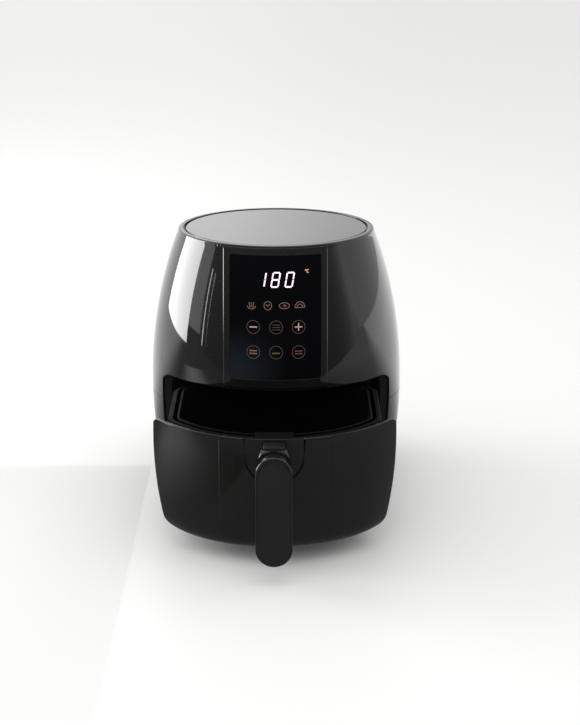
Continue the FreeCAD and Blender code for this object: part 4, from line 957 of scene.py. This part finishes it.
def makeKeyRings(material):
    v = displayMarks
    tree = bpy.data.node_groups.new("keyRings", "GeometryNodeTree")
    face = tree.interface
    face.new_socket(name="Geometry", in_out="INPUT", socket_type="NodeSocketGeometry")
    radius = face.new_socket(name="Ring Radius", in_out="INPUT", socket_type="NodeSocketFloat")
    stroke = face.new_socket(name="Ring Stroke", in_out="INPUT", socket_type="NodeSocketFloat")
    face.new_socket(name="Geometry", in_out="OUTPUT", socket_type="NodeSocketGeometry")
    nodes = tree.nodes
    enter, leave = nodes.new("NodeGroupInput"), nodes.new("NodeGroupOutput")
    circle = nodes.new("GeometryNodeCurvePrimitiveCircle")
    circle.inputs["Resolution"].default_value = v["keySteps"]
    section = nodes.new("GeometryNodeCurvePrimitiveQuadrilateral")
    sweep = nodes.new("GeometryNodeCurveToMesh")
    copies = nodes.new("GeometryNodeInstanceOnPoints")
    real = nodes.new("GeometryNodeRealizeInstances")
    coat = nodes.new("GeometryNodeSetMaterial")
    coat.inputs["Material"].default_value = material
    wire(tree.links, (enter, "Ring Radius", circle, "Radius"), (enter, "Ring Stroke", section, "Width"),
         (enter, "Ring Stroke", section, "Height"), (circle, "Curve", sweep, "Curve"),
         (section, "Curve", sweep, "Profile Curve"), (enter, "Geometry", copies, "Points"),
         (sweep, "Mesh", copies, "Instance"), (copies, "Instances", real, "Geometry"),
         (real, "Geometry", coat, "Geometry"), (coat, "Geometry", leave, "Geometry"))
    centres = [(x, z, 0.0) for z in v["keyZ"] for x in v["keyX"]]
    holder = addObject("keyRingHolder", addMesh("keyCentres", centres, []))
    step = holder.modifiers.new("rings", "NODES")
    step.node_group = tree
    step[radius.identifier] = v["keyRadius"]
    step[stroke.identifier] = v["keyStroke"]
    mesh = shownMesh(holder)
    bpy.data.objects.remove(holder)
    for vertex in mesh.vertices:
        vertex.co.z = v["thickness"] if vertex.co.z > 0 else 0.0
    wrapOnGlass(mesh)
    return dress(finishMesh("keyRings", mesh), "housing", "display_face", material)


makeKeyRings(markDim)
markPiece("litFigures", figureStrokes(), markWhite)
markPiece("litSigns", signStrokes(), markCopper)
unitMiddle = (displayMarks["unitX"], displayMarks["unitZ"])
markPiece("unitMark", [ovalStroke(unitMiddle, *shape) for shape in unitOvals], markOrange)
markPiece("minusAndPlus", minusAndPlusStrokes(), markBright)
for name, column, row, rises, stroke, material in keyMarks:
    markPiece(name, keyBars(column, row, rises, stroke), material)
print("display marks done")

# lid: a mirror-gloss disc with a rounded edge in the rim's groove

lidDisc = {
    "sink": 0.0005,
    "thickness": 0.0025,
    "rounding": 0.0010,
    "edgeTurns": 5,
    "groove": 0.0014,
    "sides": 256,
}


def makeLid():
    v = lidDisc
    top, rounding = barrel["rimHeight"] - v["sink"], v["rounding"]
    radius = radiusAt(barrel["rimHeight"]) - upperShell["rimWidth"] - v["groove"]
    profile = [(0.0, top), (radius / 2, top), (radius - 2 * rounding, top)]
    profile += [(radius - rounding * back, top - rounding * drop) for back, drop in easedEdge(v["edgeTurns"])]
    profile += [(radius, top - v["thickness"]), (0.0, top - v["thickness"])]
    turns = circleTurns(v["sides"])
    rows = [[Vector((r * math.cos(t), housingY + r * math.sin(t), z)) for t in turns] for r, z in profile]
    return meshFrom("lidDisc", rows)


dress(makeLid(), "housing", "mirror_black", mirrorBlack, "top_panel")
print("lid done")

# handle: neck from the notch plate, upright grip with a matte insert, release button on the neck

handle = {
    "front": -0.179,
    "gripThickness": 0.016,
    "gripHalf": 0.0173,
    "gripLow": 0.019,
    "gripHigh": 0.126,
    "gripSteps": 20,
    "frontRounding": 0.0026,
    "frontTurns": 6,
    "backRounding": 0.005,
    "backTurns": 7,
    "recessLip": 0.00025,
    "recessTurns": 2,
    "insertMargin": 0.0024,
    "insertTopMargin": 0.005,
    "insertDepth": 0.0016,
    "insertGap": 0.0001,
    "insertLip": 0.0003,
    "insertTurns": 3,
    "neckHalf": 0.0128,
    "neckCorner": 0.0026,
    "neckFoot": 0.0015,
    "neckHigh": 0.127,
    "neckHeight": 0.028,
    "neckRoot": -0.134,
    "neckFlare": -0.157,
    "neckRows": 10,
    "neckSteps": (8, 8, 5, 12),
    "flareMargin": 0.0006,
    "flareCorner": 0.014,
    "flareRows": 12,
    "buttonHalf": 0.010,
    "buttonFront": -0.1553,
    "buttonBack": -0.1363,
    "buttonLow": 0.1197,
    "buttonHigh": 0.1278,
    "buttonRounding": 0.0008,
    "buttonTurns": 4,
    "buttonGap": 0.0004,
    "pocketDepth": 0.004,
    "pocketClear": 0.01,
}


def stadium(half, low, high):  # counter-clockwise from the left of the lower end, with straight sides
    count = handle["gripSteps"]
    points = arc((0.0, low + half), half, 180, 360, 2 * count)
    points += line((half, low + half), (half, high - half), count)
    points += arc((0.0, high - half), half, 0, 180, 2 * count)
    return points + line((-half, high - half), (-half, low + half), count)


def gripRow(inset, depth, topInset=None):  # one level of the grip, at a depth from its front
    v = handle
    high = v["gripHigh"] - (inset if topInset is None else topInset)
    y = drawerY + v["front"] + depth
    return [Vector((x, y, z)) for x, z in stadium(v["gripHalf"] - inset, v["gripLow"] + inset, high)]


def closingRow(depth):  # the spine that a level closes on
    v = handle
    y, half, hair = drawerY + v["front"] + depth, v["gripHalf"], 1e-7
    return [Vector((0.0, y, z)) for x, z in stadium(hair, v["gripLow"] + half, v["gripHigh"] - half)]


def makeGrip():
    v = handle
    lip, front, back, thick = v["recessLip"], v["frontRounding"], v["backRounding"], v["gripThickness"]
    inset = v["insertMargin"] - v["insertGap"]
    topInset = v["insertTopMargin"] - v["insertGap"]
    grid = [closingRow(v["insertDepth"]), gripRow(inset, v["insertDepth"], topInset)]
    for depth, out in easedEdge(v["recessTurns"]):
        grid.append(gripRow(inset - lip * out, lip * depth, topInset - lip * out))
    grid += [gripRow(front * step, front * depth) for step, depth in easedEdge(v["frontTurns"])]
    grid += [gripRow(back * step, thick - back * depth) for depth, step in easedEdge(v["backTurns"])]
    return meshFrom("gripBody", grid + [closingRow(thick)])


def makeInsert():
    v = handle
    margin, topMargin, lip = v["insertMargin"], v["insertTopMargin"], v["insertLip"]
    grid = [closingRow(0.0)]
    for step, depth in easedEdge(v["insertTurns"]):
        grid.append(gripRow(margin + lip * step, lip * depth, topMargin + lip * step))
    grid += [gripRow(margin, v["insertDepth"], topMargin), closingRow(v["insertDepth"])]
    return meshFrom("gripInsert", grid)


def neckRow(half, corner, y):
    v = handle
    low, high, steps = v["neckHigh"] - v["neckHeight"], v["neckHigh"], v["neckSteps"]
    points = roundedRect(half, low, high, (v["neckFoot"], corner), steps)
    return [Vector((x, drawerY + y, z)) for x, z in points[steps[0]:] + points[:steps[0]]]


def makeNeck():
    v = handle
    half, corner, root, flare = v["neckHalf"], v["neckCorner"], v["neckRoot"], v["neckFlare"]
    gripBack = v["front"] + v["gripThickness"]
    wide = v["gripHalf"] - v["flareMargin"]
    grid = [neckRow(half, corner, root + (flare - root) * i / v["neckRows"]) for i in range(v["neckRows"])]
    for i in range(v["flareRows"] + 1):  # flares out to the grip on a smooth curve
        s = i / v["flareRows"]
        f = s * s
        grid.append(neckRow(half + (wide - half) * f, corner + (v["flareCorner"] - corner) * f,
                            flare + (gripBack - flare) * s))
    neck = meshFrom("handleNeck", grid)
    bm = bmesh.new()
    bm.from_mesh(neck.data)
    bmesh.ops.holes_fill(bm, edges=bm.edges)
    bmesh.ops.recalc_face_normals(bm, faces=bm.faces)
    bm.to_mesh(neck.data)
    bm.free()
    gap = v["buttonGap"]
    reach = v["buttonHalf"] + gap
    ys = (drawerY + v["buttonFront"] - gap, drawerY + v["buttonBack"] + gap / 4)
    zs = (v["buttonLow"] - v["pocketDepth"], v["buttonHigh"] + v["pocketClear"])
    return cutAway(neck, [blockSolid((-reach, reach), ys, zs)])


def makeButton():
    v = handle
    ys = (drawerY + v["buttonFront"], drawerY + v["buttonBack"])
    button = blockSolid((-v["buttonHalf"], v["buttonHalf"]), ys, (v["buttonLow"], v["buttonHigh"]))
    button.name = "releaseKey"
    step = button.modifiers.new("rounding", "BEVEL")
    step.width = v["buttonRounding"]
    step.segments = v["buttonTurns"]
    settle(button).data.shade_smooth()
    return button


dress(makeGrip(), "drawer", "gloss_black", drawerBlack, "handle_body")
dress(makeInsert(), "drawer", "soft_grip", softGrip, "handle_grip")
dress(makeNeck(), "drawer", "gloss_black", drawerBlack, "handle_mount")
dress(makeButton(), "release", "button_plastic", buttonSatin, "release_button")

# return spring of the button, in the neck, a plain coil as tall as its CAD box

returnSpring = {"radius": 0.0042, "wire": 0.00045, "turns": 5, "steps": 140, "sides": 10, "travel": 0.003}


def makeSpring():
    v = returnSpring
    radius, thick, steps, sides = v["radius"], v["wire"], v["steps"], circleTurns(v["sides"])
    low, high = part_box("release_spring")
    foot = Vector(((low.x + high.x) / 2, (low.y + high.y) / 2, low.z))
    length = high.z - low.z
    rise = length - 2 * thick
    lead = rise / (2 * math.pi * v["turns"])
    rows = []
    for i in range(steps + 1):
        turn = 2 * math.pi * v["turns"] * i / steps
        outward = Vector((math.cos(turn), math.sin(turn), 0.0))
        ahead = Vector((-radius * math.sin(turn), radius * math.cos(turn), lead)).normalized()
        upward = outward.cross(ahead)
        middle = foot + radius * outward + Vector((0, 0, thick + rise * i / steps))
        if i == 0:
            rows.append([middle] * len(sides))
        rows.append([middle + thick * (math.cos(a) * outward + math.sin(a) * upward) for a in sides])
    rows.append([middle] * len(sides))
    spring = dress(meshFrom("returnSpring", rows), "drawer", "spring_steel", springSteel, "release_spring")
    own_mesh(spring)


makeSpring()

# screws of the handle, driven from inside the drawer front

handleScrew = {
    "shank": 0.0018,
    "head": 0.0034,
    "headHeight": 0.0018,
    "spread": 0.012,
    "reach": 0.004,
    "sides": 32,
}


def makeScrew(name, side):
    v = handleScrew
    low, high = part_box("handle_screws")
    middle = Vector((side * v["spread"], 0.0, (low.z + high.z) / 2))
    seat = high.y - v["headHeight"]
    tip = seat - v["reach"]
    profile = [(0.0, tip), (v["shank"], tip), (v["shank"], seat)]
    profile += [(v["head"], seat), (v["head"], high.y), (0.0, high.y)]
    turns = circleTurns(v["sides"])
    rows = [[middle + Vector((r * math.cos(t), y, r * math.sin(t))) for t in turns] for r, y in profile]
    return meshFrom(name, rows)


for name, side in (("leftScrew", -1), ("rightScrew", 1)):
    dress(makeScrew(name, side), "drawer", "screw_steel", plateSteel, "handle_screws")
print("handle done")

# pan and basket: drafted tubs with straight sides and bowed front and rear

tub = {
    "front": 0.117,
    "rear": 0.108,
    "half": 0.10103,
    "corner": 0.024,
    "leastCorner": 0.002,
    "draft": 0.005,
    "cornerSteps": 10,
    "bowSteps": 48,
    "sideSteps": 12,
    "wallRows": 6,
    "panLow": 0.020,
    "panHigh": 0.126,
    "panWall": 0.0015,
    "panRim": 0.003,
    "panRimTurns": 6,
    "panFoot": 0.007,
    "panFootTurns": 6,
    "panFloorInset": 0.045,
    "panLip": 0.0004,
    "basketInset": 0.0065,
    "basketWall": 0.0012,
    "basketLow": 0.026,
    "basketHigh": 0.1268,
    "basketRim": 0.0012,
    "basketRimHeight": 0.002,
    "basketRimTurns": 8,
    "basketFoot": 0.002,
    "basketFootTurns": 4,
    "basketFootFlat": 0.003,
    "basketLedge": 0.006,
    "basketLip": 0.0003,
}


def tubRow(inset, z):  # one level of the tub's plan
    v = tub
    shrink = inset + v["draft"] * (v["panHigh"] - z) / (v["panHigh"] - v["panLow"])
    half, front, rear = v["half"] - shrink, v["front"] - shrink, v["rear"] - shrink
    corner = max(v["leastCorner"], v["corner"] - inset)
    x = half - corner
    points = []
    for radius, facing in ((front, -1), (rear, 1)):
        y = math.sqrt((radius - corner) ** 2 - x ** 2)  # centre of the corner's rounding
        meet = math.degrees(math.atan2(y, x))
        part = arc((x, y), corner, 0, meet, v["cornerSteps"])
        part += arc((0.0, 0.0), radius, meet, 180 - meet, v["bowSteps"])
        part += arc((-x, y), corner, 180 - meet, 180, v["cornerSteps"])
        part.append((-half, y))
        part = [(facing * px, facing * py) for px, py in part]
        points += line(points[-1], part[0], v["sideSteps"])[1:] + part if points else part
    points += line(points[-1], points[0], v["sideSteps"])[1:]
    return [Vector((px, drawerY + py, z)) for px, py in points]


def tubClose(z):
    return [Vector((0.0, drawerY, z)) for p in tubRow(0.0, z)]


def beadRows(inset, low, height, turns):  # half a round along a top edge
    rows = []
    for i in range(turns + 1):
        a = -math.pi / 2 + math.pi * i / turns
        rows.append(tubRow(inset + height / 2 * (1 - math.cos(a)), low + height / 2 * (1 + math.sin(a))))
    return rows


def wallLevels(start, end):  # heights along a wall, both ends included
    return [start + (end - start) * i / tub["wallRows"] for i in range(tub["wallRows"] + 1)]


def makePan():
    v = tub
    low, high, wall, lip, foot = v["panLow"], v["panHigh"], v["panWall"], v["panLip"], v["panFoot"]
    rounding = easedEdge(v["panFootTurns"])
    under, floor, innerFoot = high - wall, low + wall, foot - wall
    grid = [tubClose(low), tubRow(v["panFloorInset"], low)]
    grid += [tubRow(foot * step, low + foot * rise) for step, rise in rounding]
    grid += [tubRow(0.0, z) for z in wallLevels(low + foot, under)[1:]]
    grid += beadRows(-v["panRim"], under, wall, v["panRimTurns"])
    grid.append(tubRow(wall - lip, high))
    grid += [tubRow(wall, z) for z in wallLevels(high - lip, floor + innerFoot - lip)[:-1]]
    grid += [tubRow(wall + innerFoot * step, floor + innerFoot * rise) for rise, step in rounding]
    grid += [tubRow(v["panFloorInset"], floor), tubClose(floor)]
    return meshFrom("panTub", grid)


def makeBasket():
    v = tub
    low, high, outer = v["basketLow"], v["basketHigh"], v["basketInset"]
    foot, lip = v["basketFoot"], v["basketLip"]
    inner, ledge = outer + v["basketWall"], low + v["basketWall"]
    under = high - v["basketRimHeight"]
    grid = [tubRow(inner + v["basketLedge"], low), tubRow(outer + v["basketFootFlat"], low)]
    for step, rise in easedEdge(v["basketFootTurns"])[1:]:
        grid.append(tubRow(outer + foot * step, low + foot * rise))
    grid += [tubRow(outer, z) for z in wallLevels(low + foot, under)[1:]]
    grid += beadRows(outer - v["basketRim"], under, v["basketRimHeight"], v["basketRimTurns"])
    grid.append(tubRow(inner - lip, high))
    grid += [tubRow(inner, z) for z in wallLevels(high - lip, ledge)]
    grid.append(tubRow(inner + v["basketLedge"], ledge))
    return meshFrom("basketWall", grid, True)


dress(makePan(), "drawer", "coated_pan", coatedPan, "drawer_pan")
dress(makeBasket(), "drawer", "coated_basket", coatedBasket, "basket")
print("pan and basket done")

# stage: pale floor, even light, a window to the left and a grey card whose reflection keeps the front dark

stageSet = {
    "floorReach": (-20, 20),
    "floorTone": (0.95, 0.95 * 0.995, 0.95 * 0.985, 1),
    "floorRough": 0.4,
    "floorAlong": (0.12, 0.50, 0.14, 0.90),
    "floorAcross": (0.15, 1.60, 0.0, 0.24),
    "worldLevel": 0.93,
    "worldMirrored": (-0.06, 0.05, 0.93, 0.58),
    "cardWidth": (-3.2, 9.0),
    "cardHeight": (0.0, 6.0),
    "cardY": -0.8,
    "cardSide": (1.0, 4.5, 0.0, 0.50),
    "cardLift": (-0.1, 0.9, 0.5, 1.0),
    "cardTop": (0.15, 0.9, 0.08, 0.12),
    "patchWidth": (-1.0, -0.14),
    "patchLength": (-0.5, 0.12),
    "patchZ": 0.002,
    "patchAcross": (-0.48, -0.15, 0.80, 0.12),
    "patchAlong": (-0.40, -0.15, 0.2, 1.0),
    "patchBehind": (-0.10, 0.10, 1.0, 0.15),
}


def makeFloor():
    v = stageSet
    points = [(x, y, 0) for x, y in corners(v["floorReach"], v["floorReach"])]
    floor = addObject("floor", addMesh("floor", points, [(0, 1, 2, 3)]))
    material, nodes, links, shader = makeMaterial("paleFloor")
    shader.inputs["Base Color"].default_value = v["floorTone"]
    shader.inputs["Roughness"].default_value = v["floorRough"]
    path = nodes.new("ShaderNodeLightPath")
    shade = nodes.new("ShaderNodeEmission")
    places = placesOf(nodes, links)
    along = ramp(nodes, links, places["Y"], *v["floorAlong"])
    across = ramp(nodes, links, places["X"], *v["floorAcross"])
    links.new(combine(nodes, links, "ADD", along, across), shade.inputs["Strength"])
    pick = nodes.new("ShaderNodeMixShader")
    wire(links, (path, "Is Glossy Ray", pick, 0), (shader, 0, pick, 1), (shade, 0, pick, 2),
         (pick, 0, nodeOf(nodes, "OUTPUT_MATERIAL"), "Surface"))
    floor.data.materials.append(material)


def mirroredCard(name, points):  # only reflections see it
    card = addObject(name, addMesh(name, points, [(0, 1, 2, 3)]))
    card.visible_camera = False
    card.visible_diffuse = False
    card.visible_shadow = False
    card.visible_transmission = False
    material = bpy.data.materials.new(name)
    material.use_nodes = True
    material.node_tree.nodes.clear()
    card.data.materials.append(material)
    return material.node_tree.nodes, material.node_tree.links


def lightCard(nodes, links, level):
    glow = nodes.new("ShaderNodeEmission")
    links.new(level, glow.inputs["Strength"])
    wire(links, (glow, 0, nodes.new("ShaderNodeOutputMaterial"), "Surface"))


def makeFloorPatch():  # pale table top to the left, close to the drawer
    v = stageSet
    points = [(x, y, v["patchZ"]) for x, y in corners(v["patchWidth"], v["patchLength"])]
    nodes, links = mirroredCard("floorPatch", points)
    places = placesOf(nodes, links)
    across = ramp(nodes, links, places["X"], *v["patchAcross"])
    along = ramp(nodes, links, places["Y"], *v["patchAlong"])
    behind = ramp(nodes, links, places["Y"], *v["patchBehind"])
    level = combine(nodes, links, "MULTIPLY", along, behind)
    lightCard(nodes, links, combine(nodes, links, "MULTIPLY", across, level))


def makeFrontCard():
    v = stageSet
    points = [(x, v["cardY"], z) for x, z in corners(v["cardWidth"], v["cardHeight"])]
    nodes, links = mirroredCard("frontCard", points)
    places = placesOf(nodes, links)
    side = ramp(nodes, links, places["X"], *v["cardSide"])
    lift = ramp(nodes, links, places["Z"], *v["cardLift"])
    top = ramp(nodes, links, places["Z"], *v["cardTop"])
    lightCard(nodes, links, combine(nodes, links, "ADD", top, combine(nodes, links, "MULTIPLY", side, lift)))


def makeWorld():  # even light, with less of it on the right in reflections
    world = bpy.data.worlds.new("studio")
    bpy.context.scene.world = world
    world.use_nodes = True
    nodes, links = world.node_tree.nodes, world.node_tree.links
    back = nodes["Background"]
    back.inputs["Color"].default_value = (1.0, 1.0, 1.0, 1)
    level = stageSet["worldLevel"]
    start, end, left, right = stageSet["worldMirrored"]
    path = nodes.new("ShaderNodeLightPath")
    places = placesOf(nodes, links, "Generated")
    change = ramp(nodes, links, places["X"], start, end, left - level, right - level)
    total = nodes.new("ShaderNodeMath")
    total.operation = "ADD"
    links.new(combine(nodes, links, "MULTIPLY", change, path.outputs["Is Glossy Ray"]), total.inputs[0])
    total.inputs[1].default_value = level
    wire(links, (total, 0, back, "Strength"))


# each lamp's place, target, width, height and the brightness of its face
softBoxes = {
    "leftWindow": ((-2.0, 0.78, 0.62), (0, 0.78, 0.62), 1.45, 1.2, 6.0),
    "leftStrip": ((-2.0, -0.62, 0.45), (0, -0.2, 0.3), 0.035, 0.75, 5.0),
    "nearStrip": ((-2.0, -0.80, 0.45), (0, -0.2, 0.3), 0.02, 0.75, 4.0),
    "overhead": ((0.2, -0.7, 2.3), (0.1, -0.5, 0.0), 2.0, 2.0, 0.55),
}


def makeSoftBox(name, place, target, width, height, level):
    data = bpy.data.lights.new(name, "AREA")
    data.shape = "RECTANGLE"
    data.size, data.size_y, data.energy = width, height, level * math.pi * width * height
    lamp = addObject(name, data)
    lamp.location = place
    lamp.rotation_euler = (Vector(target) - Vector(place)).to_track_quat("-Z", "Y").to_euler()
    lamp.visible_camera = False


photoView = {
    "focal": 1821.0,
    "imageHeight": 725.0,
    "sensor": 36.0,
    "place": (0.0148, -1.803, 0.6605),
    "pitch": 0.275,
}


def makeCamera():
    v = photoView
    data = bpy.data.cameras.new("camera")
    data.sensor_fit = "VERTICAL"
    data.sensor_height = v["sensor"]
    data.lens = v["focal"] / v["imageHeight"] * v["sensor"]
    camera = addObject("camera", data)
    camera.location = v["place"]
    camera.rotation_euler = (math.pi / 2 - v["pitch"], 0, 0)
    bpy.context.scene.camera = camera


makeFloor()
makeFrontCard()
makeFloorPatch()
makeWorld()
for name, values in softBoxes.items():
    makeSoftBox(name, *values)
makeCamera()
bpy.context.scene.view_settings.view_transform = "Standard"
print("stage done")
